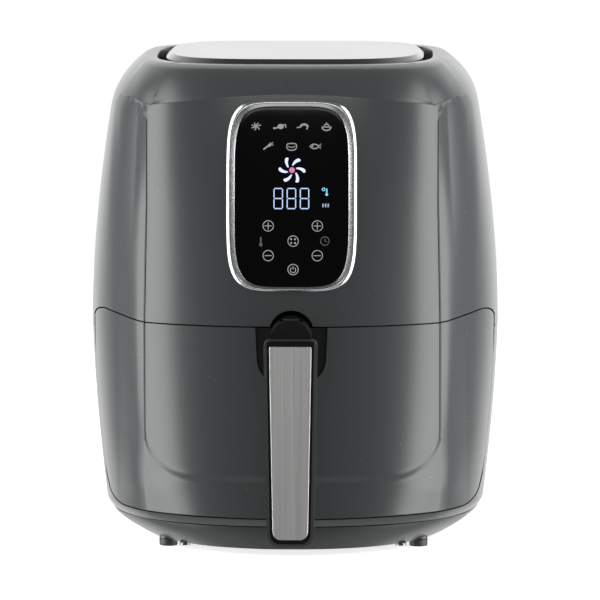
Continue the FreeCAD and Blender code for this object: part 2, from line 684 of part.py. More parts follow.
def panel_glass():
    block = panel_prism(GLASS_X, GLASS_Z, GLASS_MID)
    return block.common(face_solid(SHIELD + 1.5)).cut(face_solid(-1.0))


def power_board():
    return box(-101.6, -100, -42, 58, 252, 308)


def board_holder():
    """Plastic plate that stands on the deck and holds the power board."""
    plate = box(-106.5, -104.5, -44, 60, DECK_Z + 2.2, 310)
    posts = [rod(3, (-105, y, z), (-101.6, y, z)) for y in (-36, 52) for z in (258, 302)]
    return joined([plate] + posts)


def power_parts():
    """Transformer, relay, capacitor and heat sink on the power board."""
    transformer = joined([box(-100, -78, -32, -4, 262, 290), box(-99, -80, -28, -8, 257, 295)])
    relay = box(-100, -84, 8, 28, 258, 274)
    capacitor = rod(6.5, (-100, 40, 268), (-80, 40, 268))
    sink = joined([box(-100, -97, 4, 34, 284, 304)] +
                  [box(-97.5, -86, 5 + 6 * i, 6.5 + 6 * i, 284, 304) for i in range(5)])
    return group([transformer, relay, capacitor, sink])


def terminal_block():
    block = box(48, 84, 88, 102, DECK_Z + 2.2, 257)
    slots = [box(52 + 8 * i, 57 + 8 * i, 86, 96, 250, 260) for i in range(4)]
    return block.cut(group(slots))


def interlock_switch():
    x, z = SWITCH_X, SWITCH_Z
    case = box(x - 3, x + 4, FRAME_Y + 3.2, FRAME_Y + 18, z - 10, z + 10)
    tabs = [box(x - 0.4, x + 0.4, FRAME_Y + 18, FRAME_Y + 24, z + h - 2, z + h + 2) for h in (-6, 6)]
    return case.fuse(tabs).cut(rod(2.0, (x, FRAME_Y + 2, z), (x, FRAME_Y + 12, z)))


def switch_plunger():
    x, z = SWITCH_X, SWITCH_Z
    return rod(1.6, (x, FRAME_Y + 2.0, z), (x, FRAME_Y + 10.5, z))


def cord_gland():
    """Inlet bush for the mains lead, low at the back."""
    flange = rod(11, (60, 128, 48), (60, 141.5, 48)).cut(housing_solid(-0.1))
    bush = rod(7.9, (60, 122, 48), (60, 141.5, 48))
    return joined([flange, bush]).cut(rod(3.2, (60, 100, 48), (60, 160, 48)))


def wiring():
    """Inner leads: inlet to terminal block, boards to display, motor and element."""
    return group([
        cable([(60, 118.8, 50), (60, 118.8, 140), (62, 122, 160), (62, 122, 266), (62, 97, 266),
               (62, 97, 257.5)], 2.4, 4.0),
        cable([(-97.6, -38, 300), (-70, -38, 300), (-12, -104, 300), (-12, -120, 300)], 1.8),
        cable([(-83, 18, 267), (-60, 18, 267), (-60, 50, 267), (-34, 50, 267)], 1.6),
        cable([(70, 85.5, 250), (70, 60, 250), (128, 4, 250), (128, FAN_Y, 236),
               (128, FAN_Y, 194.8), (121, FAN_Y, 194.8)], 1.6, 3.0),
    ])


# ---- drawer -------------------------------------------------------------------------------
def drawer_posts():
    return [(x, z) for x in (-60, 60) for z in (58, 125)]


def drawer_front():
    """Lower front of the body, with posts for the pan and the finger that works the switch."""
    shell = SHELL.common(drawer_prism(0.0)).cut(slot_prism(0.3))
    front = box(-250, 250, -300, PAN_FRONT, 0, 300).common(OUTER)
    posts = [rod(5.5, (x, -200, z), (x, PAN_FRONT, z)).common(front) for x, z in drawer_posts()]
    x, z = SWITCH_X, SWITCH_Z
    finger = box(x - 1.6, x + 1.6, -120, FRAME_Y + 1.6, z - 2, z + 2).common(OUTER)
    holes = [rod(1.95, (x, PAN_FRONT - 12, z), (x, PAN_FRONT + 1, z)) for x, z in drawer_posts()]
    return shell.fuse(posts + [finger]).cut(group(holes))


def pan():
    """Non-stick outer pan with a flat rim."""
    body = tray_form(0.0, PAN_Z, PAN_TOP, 9.0).cut(tray_form(SHEET, PAN_Z + SHEET, PAN_TOP + 5, 8.0))
    rim = pan_box(0.0, PAN_TOP - SHEET, PAN_TOP, 2.6).cut(pan_box(SHEET, 100, 200))
    notch = box(-NECK_R - 0.6, NECK_R + 0.6, -130, -110, NECK_FLOOR - 0.6, 200)
    holes = [rod(2.0, (x, -130, z), (x, -110, z)) for x, z in drawer_posts()]
    return body.fuse(rim).cut(notch).cut(group(holes))


def pan_screws():
    return group([screw(4.2, 1.9, (x, PAN_FRONT + SHEET, z), (x, PAN_FRONT - 10, z), 1.8)
                  for x, z in drawer_posts()])


def basket():
    """Inner basket with a perforated floor and slotted walls."""
    body = tray_form(BASKET_GAP, BASKET_Z, BASKET_TOP, 9.0)
    body = body.cut(tray_form(BASKET_GAP + SHEET, BASKET_Z + SHEET, BASKET_TOP + 5, 8.0))
    rim = pan_box(0.6, BASKET_TOP - SHEET, BASKET_TOP, 0.0).cut(pan_box(BASKET_GAP + SHEET, 100, 200))
    middle = (PAN_FRONT + PAN_BACK) / 2
    holes = []
    for row in range(-7, 8):
        for column in range(-7, 8):
            if abs(row) + abs(column) < 12:
                x, y = 12.5 * column, middle + 12.5 * row
                holes.append(rod(3.0, (x, y, 30), (x, y, 45)))
    for i in range(-4, 5):
        for z in (54.0, 74.0, 94.0):
            along = 14.0 * i
            holes.append(box(-130, 130, middle + along - 1.6, middle + along + 1.6, z, z + 13))
            holes.append(box(along - 1.6, along + 1.6, 90, 115, z, z + 13))
    return body.fuse(rim).cut(group(holes)).cut(neck_solid(0.05))


def crisper_tray():
    """Loose perforated plate on the basket floor, with a lifting ring in its middle."""
    middle = (PAN_FRONT + PAN_BACK) / 2
    plate = pan_box(BASKET_GAP + 5.0, 46.0, 47.2)
    slots = []
    for i in range(-7, 8):
        reach = 92 if abs(i) < 5 else 74
        for half in (-1, 1):
            y0, y1 = middle + half * 14, middle + half * reach
            slots.append(box(12.5 * i - 2.4, 12.5 * i + 2.4, min(y0, y1), max(y0, y1), 40, 50))
    hoop = Part.makeTorus(11, 1.6, V(0, middle, 50.5), V(0, 1, 0))
    return plate.cut(group(slots)).fuse(hoop.common(box(-30, 30, middle - 20, middle + 20, 46.5, 70)))


def tray_bumpers():
    """Silicone feet that hold the loose plate off the basket."""
    middle = (PAN_FRONT + PAN_BACK) / 2
    return group([rod(5, (x, middle + y, BASKET_Z + SHEET), (x, middle + y, 46.0))
                  for x in (-81, 81) for y in (-56, 56)])


def handle_bracket():
    """Black moulding: the U-shaped plate in the drawer front and the hollow neck."""
    plate = slot_prism(-0.2).common(face_solid(SHIELD - 1.0)).cut(housing_solid(9.0))
    plate = plate.common(box(-40, 40, -300, -100, 100, SEAM_Z))
    hollow = neck_solid(-NECK_WALL)
    window = box(-8.5, 8.5, -191, -164, NECK_Z + 3, 200)
    slot = box(-5.2, 5.2, -139, -129.5, 140, NECK_FLOOR + 4)
    shelf = box(-12.6, 12.6, -174.9, -166, 157.0, 158.2)
    collar = tube(8.4, 6.5, (0, BUTTON_Y, 157.0), (0, BUTTON_Y, 168.0))
    ribs = box(-12.9, 12.9, BUTTON_Y - 2, BUTTON_Y + 2, 157.0, 161.0).cut(
        rod(6.6, (0, BUTTON_Y, 150), (0, BUTTON_Y, 170)))
    seat = joined([collar, ribs]).cut(box(-5.2, 5.2, -190, -176.5, 150, 163.5)).fuse(shelf)
    seat = seat.common(neck_solid(-NECK_WALL + 0.5))
    outer = joined([neck_solid(0.0), plate])
    return outer.cut(hollow).cut(window).cut(slot).fuse(seat)


def grip_outline(inset, y, z_top, z_bottom, corner_top, corner_bottom, top=19.6, bottom=17.0):
    corners = [(-bottom + inset, z_bottom, corner_bottom), (bottom - inset, z_bottom, corner_bottom),
               (top - inset, z_top, corner_top), (-top + inset, z_top, corner_top)]
    return rounded_polygon(corners, in_front(y))


def handle_shell():
    """Body-coloured grip, open at the front and top for the black surround."""
    grip = slab(grip_outline(0.0, GRIP_FRONT, 164.0, 14.0, 4.0, 9.0), V(0, GRIP_BACK - GRIP_FRONT, 0))
    grip = grip.makeFillet(4.0, [e for e in grip.Edges if e.BoundBox.YMin > GRIP_BACK - 0.1])
    recess = slab(grip_outline(2.4, GRIP_FRONT - 1, 170.0, 15.8, 3.0, 7.4, 19.75), V(0, 7.5, 0))
    holes = [rod(2.0, (0, GRIP_FRONT, z), (0, GRIP_BACK, z)) for z in (42, 128)]
    sinks = [rod(4.0, (0, GRIP_BACK - 2.4, z), (0, GRIP_BACK + 1, z)) for z in (42, 128)]
    return grip.cut(recess).cut(group(holes + sinks)).cut(neck_solid(0.05))


def handle_surround():
    """Black inlay round the bright plate."""
    block = slab(grip_outline(2.5, GRIP_FRONT + 0.2, 164.0, 15.9, 2.9, 7.3), V(0, 6.0, 0))
    seat = slab(grip_outline(4.0, GRIP_FRONT - 1, 160.5, 18.6, 1.6, 6.4), V(0, 3.0, 0))
    holes = [rod(1.55, (0, GRIP_FRONT + 3.5, z), (0, GRIP_BACK, z)) for z in (42, 128)]
    return block.cut(seat).cut(group(holes))


def handle_insert():
    """Brushed metal plate on the front of the handle."""
    plate = slab(grip_outline(4.15, GRIP_FRONT, 160.3, 18.8, 1.4, 6.2), V(0, 1.9, 0))
    return plate.makeChamfer(0.4, [e for e in plate.Edges if e.BoundBox.YMax < GRIP_FRONT + 0.05])


def handle_screws():
    return group([screw(3.6, 1.5, (0, GRIP_BACK - 2.4, z), (0, GRIP_FRONT + 4, z), 1.8)
                  for z in (42, 128)])


def pan_catch():
    """Sheet bracket on the pan that the latch bolt hooks into."""
    plate = box(-9, 9, -128.4, -127.2, 136.5, 148.0).cut(box(-5.5, 5.5, -130, -125, 139.5, 146.2))
    legs = [box(x, x + 1.2, -128.4, PAN_FRONT, 136.5, 148.0) for x in (-9, 7.8)]
    return joined([plate] + legs)


def release_button():
    """Button under the guard, with the sloping stem that drives the bolt."""
    cap = rod(BUTTON_R, (0, BUTTON_Y, 166.0), (0, BUTTON_Y, BUTTON_TOP))
    cap = cap.makeFillet(1.0, [e for e in cap.Edges if e.BoundBox.ZMin > BUTTON_TOP - 0.1])
    high, low = SLOPE_Y - 4.6, SLOPE_Y - 2.99
    stem = polygon_slab([V(-2.2, high, 166.5), V(-2.2, high, 160.91), V(-2.2, low, 159.3),
                         V(-2.2, -176.0, 159.3), V(-2.2, -176.0, 166.5)], V(4.4, 0, 0))
    return joined([cap, stem])


def button_spring():
    """Return spring under the button."""
    corners = []
    for i in range(25):
        turn = math.radians(60 * i)
        corners.append((2.55 * math.cos(turn), -171.9 + 2.55 * math.sin(turn), SPRING_Z + 1.6 * i / 6))
    return cable(corners, 0.3, 2.1)


def latch_bolt():
    """Sliding bolt: a ramp under the button at the front, a hook for the pan at the back."""
    bar = box(-4, 4, -181.5, -131, 152.6, 155.6)
    ramp = polygon_slab([V(-4, -181.5, 155.0), V(-4, SLOPE_Y, 155.0), V(-4, SLOPE_Y, 155.6),
                         V(-4, -181.5, 161.2)], V(8, 0, 0))
    leg = box(-4, 4, -134, -131, 141.0, 155.6)
    tooth = box(-4, 4, -134, -125.9, 141.0, 144.4)
    return joined([bar, ramp, leg, tooth])


def button_guard():
    """Curved slide that covers the button, with a thumb ridge in the window."""
    y0, y1 = -191.5, -160.0
    arch = tube(12.05, 10.9, (0, y0, NECK_Z), (0, y1, NECK_Z))
    arch = arch.common(box(-20, 20, y0, y1, NECK_Z + 5.0, 200))
    ridge = box(-6, 6, -189.5, -186.5, NECK_Z + 10.5, 178.4)
    ridge = ridge.makeFillet(0.9, [e for e in ridge.Edges if e.BoundBox.ZMin > 178.3])
    return joined([arch, ridge])


# ---- fasteners ----------------------------------------------------------------------------
def base_screws():
    return group([screw(4.0, 1.9, (x, y, FLOOR_Z), (x, y, 22), 1.8) for x, y in BOSS_PLACES])


def motor_screws():
    z = DECK_Z + 4.2
    return group([screw(4.0, 1.9, (x, FAN_Y, z), (x, FAN_Y, z - 1.9), 2.0) for x in (-57, 57)])


NODES = [
    upper_housing, lower_housing, base_pan, rubber_feet, top_panel, vent_tray, front_frame,
    chamber_liner, pan_guides, chamber_ceiling, heater_hood, heating_element, element_supports,
    element_guard, temperature_sensor, thermal_cutout, exhaust_duct, rear_vent_grille, deck,
    motor_bracket, motor_stator, motor_coil, motor_bearings, fan_shaft, motor_rotor,
    convection_fan, fan_nut, cooling_fan, display_board, display_parts, touch_springs,
    display_carrier, panel_bezel, panel_glass, power_board, board_holder, power_parts,
    terminal_block, interlock_switch, switch_plunger, cord_gland, wiring, drawer_front, pan,
    pan_screws, basket, crisper_tray, tray_bumpers, handle_bracket, handle_shell,
    handle_surround, handle_insert, handle_screws, pan_catch, release_button, button_spring,
    latch_bolt, button_guard, base_screws, motor_screws,
]

os.makedirs("parts", exist_ok=True)
for make in NODES:
    piece = make()
    piece.translate(V(0, BODY_Y, BODY_Z))
    piece.exportStep("parts/" + make.__name__ + ".step")
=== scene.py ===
import json
import math

import bmesh
import bpy
import numpy as np
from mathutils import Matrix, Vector


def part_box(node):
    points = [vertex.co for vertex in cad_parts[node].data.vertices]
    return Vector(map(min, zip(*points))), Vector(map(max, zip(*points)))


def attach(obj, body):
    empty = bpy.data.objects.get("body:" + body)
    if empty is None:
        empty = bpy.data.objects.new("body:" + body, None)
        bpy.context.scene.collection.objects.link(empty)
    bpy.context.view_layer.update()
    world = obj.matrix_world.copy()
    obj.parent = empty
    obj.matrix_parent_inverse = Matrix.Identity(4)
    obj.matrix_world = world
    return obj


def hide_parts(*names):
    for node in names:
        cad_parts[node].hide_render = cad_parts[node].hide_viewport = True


# Countertop air fryer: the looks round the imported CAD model. Lengths are in millimetres about
# the body's own axis, and put() turns them into the row frame in metres.

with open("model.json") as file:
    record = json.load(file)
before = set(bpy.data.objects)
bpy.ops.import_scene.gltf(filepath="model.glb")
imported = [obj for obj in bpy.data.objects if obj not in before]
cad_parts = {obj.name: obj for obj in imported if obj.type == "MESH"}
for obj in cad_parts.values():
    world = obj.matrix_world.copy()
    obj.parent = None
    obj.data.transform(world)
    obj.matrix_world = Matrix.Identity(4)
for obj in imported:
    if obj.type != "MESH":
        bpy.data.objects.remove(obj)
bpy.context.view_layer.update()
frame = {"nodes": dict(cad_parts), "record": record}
NODES = frame["nodes"]

# ---- the body's form, as in the CAD -------------------------------------------------------
RIM_Z = 358.0
BODY_Y = 30.62
BODY_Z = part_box("upper_housing")[1][2] * 1000 - RIM_Z
WIDEST_Z, WIDEST = 167.0, 152.38
SHOULDER_Z, HEM_Z, BASE_Z = 319.0, 28.0, 20.0
TOP_TAPER, TOP_CURVE = 14.6, 1.7
LOW_TAPER, LOW_CURVE = 10.5, 1.6
HEM_WIDTH, HEM_TAPER, HEM_CURVE = 141.9, 4.4, 1.7
SHOULDER_WIDTH, SHOULDER_SLOPE = 137.8, 0.163
SHOULDER_FALL, SHOULDER_SPAN, SHOULDER_CURVE = 15.6, 36.0, 2.5
FRONT, BACK = 1.083, 0.98
SQUARE_LOW, SQUARE_GAIN, SQUARE_Z, SQUARE_CURVE = 2.25, 1.05, 170.0, 1.5
RIM_SQUARE, BACK_SQUARE_MORE = 3.3, 0.5
WALL = 2.6
SEAM_Z, SIDE_SEAM_Z, GAP = 169.0, 163.0, 1.0
DRAWER_BACK = -40.0
OPEN_A, OPEN_FRONT, OPEN_BACK = 102.8, 108.0, 104.0

# ---- the patch on the front and the hollows beside it -------------------------------------
CREASE_X, RIDGE_X = 105.4, 127.0
SHIELD_LOW, SHIELD_TOP, SHIELD_ARCH, SHIELD_CORNER = 56.0, 338.6, 9.6, 32.0
SHIELD = 1.5
STEP_SHARP, STEP_SOFT = 1.2, 7.0
SHOULDER_RISE, RISE_START, RISE_RUN = 4.5, 1.0, 17.0
SHOULDER_EDGE, SHOULDER_EASE = 18.0, 22.0
SHOULDER_FLARE, SHOULDER_DROP = 0.6, 0.3
BEVEL_EDGE, BEVEL_EASE, BEVEL_CURVE = 10.0, 18.0, 0.82
FLARE_Z, FLARE = (22, 45, 170, 255), (1.8, 4.4, 4.2, 1.7)
FLARE_END, FLARE_CURVE = 27.0, 3
HOLLOW_Z = (45, 62, 85, 110, 170, 215, 250, 285, 312, 332)
HOLLOW_DEPTH = (0.0, 0.3, 0.8, 0.4, 0.0, 0.2, 1.0, 2.2, 2.6, 2.6)
HOLLOW_START, HOLLOW_END, HOLLOW_MARGIN = 0.3, 0.75, 2.0

# ---- the panel ----------------------------------------------------------------------------
BEZEL_X, BEZEL_Z, BEZEL_MID = 47.9, 70.0, 265.4
GLASS_X, GLASS_Z, GLASS_MID = 41.5, 65.2, 264.6
PANEL_SQUARE = 5.0


def face_width(z):
    """Half-width of the body at height z, with the sides carried on past the shoulder."""
    z = np.asarray(z, float)
    above = np.maximum(z - WIDEST_Z, 0) / (SHOULDER_Z - WIDEST_Z)
    below = np.maximum(WIDEST_Z - z, 0) / (WIDEST_Z - HEM_Z)
    under = np.maximum(HEM_Z - z, 0) / (HEM_Z - BASE_Z)
    upper = WIDEST - TOP_TAPER * above ** TOP_CURVE
    lower = WIDEST - LOW_TAPER * below ** LOW_CURVE
    hem = HEM_WIDTH - HEM_TAPER * under ** HEM_CURVE
    return np.where(z >= WIDEST_Z, upper, np.where(z >= HEM_Z, lower, hem))


def half_width(z):
    """Half-width of the housing at height z, shoulder included."""
    rise = np.maximum(np.asarray(z, float) - SHOULDER_Z, 0)
    fall = SHOULDER_FALL * (rise / SHOULDER_SPAN) ** SHOULDER_CURVE
    shoulder = SHOULDER_WIDTH - SHOULDER_SLOPE * rise - fall
    return np.where(rise > 0, shoulder, face_width(z))


def squareness(z):
    """Power of the body's superellipse at height z: rounder low down, squarer at the rim."""
    up = np.maximum(0.0, np.asarray(z, float) - SQUARE_Z) / (RIM_Z - SQUARE_Z)
    return SQUARE_LOW + SQUARE_GAIN * up ** SQUARE_CURVE


def smooth(t):
    """Soft step from 0 to 1 as t goes from 0 to 1."""
    t = np.clip(t, 0.0, 1.0)
    return t * t * (3 - 2 * t)


def arch_top(x):
    """Height of the shoulder's lower edge: an arch over the patch that lifts again beside it."""
    side = np.abs(x)
    arch = SHIELD_ARCH * np.minimum(side / CREASE_X, 1.0) ** 2
    return SHIELD_TOP - arch + SHOULDER_RISE * smooth((side - CREASE_X - RISE_START) / RISE_RUN)


def relief(x, z):
    """How far the front stands proud of the plain form: the patch, and the hollows beside it."""
    side = np.abs(x)
    into = SHIELD_LOW + SHIELD_CORNER - z
    out = side - (CREASE_X - SHIELD_CORNER)
    corner = np.hypot(np.maximum(out, 0), np.maximum(into, 0)) - SHIELD_CORNER
    beyond = np.where(into > 0, corner, side - CREASE_X)
    turn = np.arctan2(np.maximum(out, 0.01), np.maximum(into, 0.01)) / (math.pi / 2)
    upright = smooth(np.clip(turn, 0, 1))
    soft = STEP_SHARP + STEP_SOFT * (1 - upright)
    flare = np.interp(z, FLARE_Z, FLARE) * np.minimum(side / CREASE_X, 1) ** FLARE_CURVE
    patch = SHIELD * smooth(0.5 - beyond / soft)
    patch = patch + flare * smooth(1 - (side - CREASE_X) / FLARE_END)
    depth = np.interp(z, HOLLOW_Z, HOLLOW_DEPTH) * upright
    reach = np.clip(beyond / (half_width(z) - HOLLOW_MARGIN - CREASE_X), 0, 1)
    hollow = depth * np.minimum(reach / HOLLOW_START, 1) * smooth((1 - reach) / HOLLOW_END)
    shoulder = SHIELD + SHOULDER_FLARE * flare
    shoulder = shoulder * smooth((CREASE_X + SHOULDER_EDGE - side) / SHOULDER_EASE)
    return np.where(z < arch_top(x) - SHOULDER_DROP, patch - hollow, shoulder)


def front_width(x, z):
    """Half-width of the form at height z for a point of the front: the face runs straight up to
    its arched top edge, and the bevel falls from there to the rim."""
    side = np.abs(x)
    top = arch_top(x)
    rim = half_width(RIM_Z)
    q = np.clip((RIM_Z - z) / (RIM_Z - top), 0, 1)
    bevel = rim + (face_width(top) - rim) * q ** BEVEL_CURVE
    creased = np.where(z < top, face_width(z), bevel)
    share = smooth((CREASE_X + BEVEL_EDGE - side) / BEVEL_EASE)
    return half_width(z) + (creased - half_width(z)) * share


def front_columns():
    """Distances from the middle of the columns of points across the front.

    Known fault: the crease's own columns begin 1.9 mm before the last even one, so the surface
    folds over itself in that strip."""
    even = list(np.arange(0, 104.1, 2.0)) + [105.4, 106.8]
    crease = list(CREASE_X + np.array([-0.5, -0.2, 0.1, 0.4, 0.9, 1.5]))
    outside = list(np.arange(111.4, RIDGE_X + 3.1, 1.1))
    half = even + crease + outside
    return np.array([-x for x in reversed(half[1:])] + half)


FRONT_X = front_columns()
SIDE_COUNT, SIDE_EASE, BACK_COUNT = 26, 6.0, 84
COLUMN_WIDTH, LIFT_Z = 137.0, 300.0


def on_form(angle, a, depth, n):
    """Point of a superellipse at a polar angle."""
    c, s = np.cos(angle), np.sin(angle)
    r = (np.abs(c / a) ** n + np.abs(s / depth) ** n) ** (-1.0 / n)
    return r * c, r * s


def ring(z, inset=0.0):
    """One closed row of points round the body. Over the front it follows the arch."""
    x = FRONT_X * np.minimum(1.0, half_width(z) / COLUMN_WIDTH)
    if z < SHIELD_TOP:
        lift = (z - LIFT_Z) / (SHIELD_TOP - LIFT_Z)
    else:
        lift = (RIM_Z - z) / (RIM_Z - SHIELD_TOP)
    level = z + (arch_top(FRONT_X) - SHIELD_TOP) * np.clip(lift, 0, 1)
    rest = z - (SHIELD_ARCH - SHOULDER_RISE) * np.clip(lift, 0, 1)
    n = squareness(level)
    a = front_width(x, level) - inset
    b = a + (front_width(x, level) * (FRONT - 1))
    y = -b * (1 - np.minimum(np.abs(x) / a, 1) ** n) ** (1.0 / n)
    d = relief(x, level)
    front = np.stack([x * (1 + d / a), y * (1 + d / a), level], 1)
    wide = float(half_width(rest))
    square = float(squareness(rest))
    sides = []
    for sign in (1, -1):
        edge = front[-1] if sign > 0 else front[0]
        sides.append(side_points(edge, sign, wide, inset, square, rest))
    turn = np.linspace(0, math.pi, BACK_COUNT + 1)[1:-1]
    bx, by = on_form(turn, wide - inset, wide * BACK - inset, square + BACK_SQUARE_MORE)
    back = np.stack([bx, by, np.full(len(bx), rest)], 1)
    return np.concatenate([front, sides[0], back, sides[1][::-1]])


def side_points(edge, sign, wide, inset, square, z):
    """Points from the front's edge to the widest place of a side. The first few ease the step
    between the front's relief and the plain form."""
    step = np.arange(1, SIDE_COUNT + 1)
    start = math.atan2(edge[1], sign * edge[0])
    a = wide - inset
    b = a + wide * (FRONT - 1)
    px, py = on_form(start * (1 - step / SIDE_COUNT), a, b, square)
    near_x, near_y = on_form(np.array([start]), a, b, square)
    fix = math.hypot(edge[0], edge[1]) / math.hypot(near_x[0], near_y[0])
    ease = 1 + (fix - 1) * (1 - smooth(step / SIDE_EASE))
    return np.stack([sign * px * ease, py * ease, np.full(SIDE_COUNT, z)], 1)


def plan_ring(z, a, front, back):
    """Row of points of the plain rim form, matched to the rows below it."""
    guide = ring(RIM_Z)
    angle = np.arctan2(guide[:, 1] / FRONT, guide[:, 0])
    fx, fy = on_form(angle, a, front, RIM_SQUARE)
    bx, by = on_form(angle, a, back, RIM_SQUARE + BACK_SQUARE_MORE)
    ahead = guide[:, 1] < 0
    return np.stack([np.where(ahead, fx, bx), np.where(ahead, fy, by), np.full(len(fx), z)], 1)


# ---- mesh helpers -------------------------------------------------------------------------
def put(points):
    """Millimetres about the body's axis to metres in the row frame."""
    points = np.asarray(points, float).reshape(-1, 3) + (0, BODY_Y, BODY_Z)
    return points * 0.001


def mesh_object(name, points, faces):
    """New object from points in the body's millimetres."""
    mesh = bpy.data.meshes.new(name)
    mesh.from_pydata([tuple(p) for p in put(points)], [], faces)
    mesh.validate()
    made = bpy.data.objects.new(name, mesh)
    bpy.context.collection.objects.link(made)
    return made


def rows_mesh(name, rows, closed_rows=True):
    """Mesh through rows of points, each row a closed ring. closed_rows joins last row to first."""
    count = len(rows[0])
    faces = []
    for r in range(len(rows) if closed_rows else len(rows) - 1):
        here, above = r * count, (r + 1) % len(rows) * count
        for c in range(count):
            d = (c + 1) % count
            faces.append((here + c, here + d, above + d, above + c))
    return mesh_object(name, np.concatenate(rows), faces)


def prism(name, outline, along, low, high):
    """Prism of a closed outline (u, v). along is the axis it runs along, 0, 1 or 2."""
    points = []
    for level in (low, high):
        for u, v in outline:
            points.append([(level, u, v), (u, level, v), (u, v, level)][along])
    n = len(outline)
    faces = [(i, (i + 1) % n, n + (i + 1) % n, n + i) for i in range(n)]
    faces += [tuple(range(n))[::-1], tuple(range(n, 2 * n))]
    made = mesh_object(name, points, faces)
    flip_out(made)
    return made


def flip_out(made):
    """Turn every face of a closed mesh outwards."""
    bm = bmesh.new()
    bm.from_mesh(made.data)
    bmesh.ops.recalc_face_normals(bm, faces=bm.faces)
    bm.to_mesh(made.data)
    bm.free()


def circle_points(u, v, radius, steps, squash=1.0):
    """Points round a circle, or round an ellipse where squash flattens it."""
    turns = [2 * math.pi * i / steps for i in range(steps)]
    return [(u + radius * math.cos(t), v + radius * squash * math.sin(t)) for t in turns]


def rounded(corners, grow, steps):
    """Outline through corners (u, v, radius), anticlockwise, with arcs at the corners and moved
    out by grow."""
    count = len(corners)
    p = [Vector((u, v)) for u, v, _ in corners]
    radius = [r for _, _, r in corners]
    if grow:
        moved = []
        for i in range(count):
            before, after = (p[i] - p[i - 1]).normalized(), (p[(i + 1) % count] - p[i]).normalized()
            bend = Vector((before.y + after.y, -before.x - after.x))
            moved.append(p[i] + bend * (2.0 * grow / bend.dot(bend)))
            turn = 1 if before.cross(after) > 0 else -1
            radius[i] = max(0.0, radius[i] + turn * grow) if radius[i] else 0.0
        p = moved
    outline = []
    for i in range(count):
        if not radius[i]:
            outline.append(tuple(p[i]))
            continue
        back, ahead = (p[i - 1] - p[i]).normalized(), (p[(i + 1) % count] - p[i]).normalized()
        half = back.angle(ahead) / 2
        centre = p[i] + (back + ahead).normalized() * (radius[i] / math.sin(half))
        start = p[i] + back * (radius[i] / math.tan(half)) - centre
        sweep = (math.pi - 2 * half) * (1 if back.cross(ahead) < 0 else -1)
        for k in range(steps + 1):
            t = sweep * k / steps
            c, s = math.cos(t), math.sin(t)
            outline.append((centre.x + start.x * c - start.y * s, centre.y + start.x * s + start.y * c))
    return outline


def cut(target, cutters, operation="DIFFERENCE"):
    """Boolean with each cutter in turn; the cutters are then removed."""
    for cutter in cutters:
        step = target.modifiers.new("cut", "BOOLEAN")
        step.object = cutter
        step.operation = operation
        step.solver = "MANIFOLD"
    bake(target)
    for cutter in cutters:
        bpy.data.objects.remove(cutter)


def bake(target):
    """Apply a piece's modifiers."""
    bpy.context.view_layer.update()
    graph = bpy.context.evaluated_depsgraph_get()
    mesh = bpy.data.meshes.new_from_object(target.evaluated_get(graph))
    target.modifiers.clear()
    old = target.data
    target.data = mesh
    bpy.data.meshes.remove(old)


def copy_of(source, name):
    """Second object with its own copy of the mesh."""
    made = bpy.data.objects.new(name, source.data.copy())
    bpy.context.collection.objects.link(made)
    return made


def shade(made, angle=32.0):
    """Smooth shading, with the edges sharper than angle kept sharp."""
    made.data.shade_smooth()
    made.data.set_sharp_from_angle(angle=math.radians(angle))


def add_parts(target, extras):
    """Join other pieces into target."""
    bpy.ops.object.select_all(action="DESELECT")
    for extra in extras:
        extra.select_set(True)
    target.select_set(True)
    bpy.context.view_layer.objects.active = target
    bpy.ops.object.join()


def finish_piece(made, body, material, nodes=()):
    """Give a piece its material and body, and hide the CAD nodes that it replaces."""
    made.data.materials.clear()
    made.data.materials.append(material)
    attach(made, body)
    if nodes:
        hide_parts(*nodes)


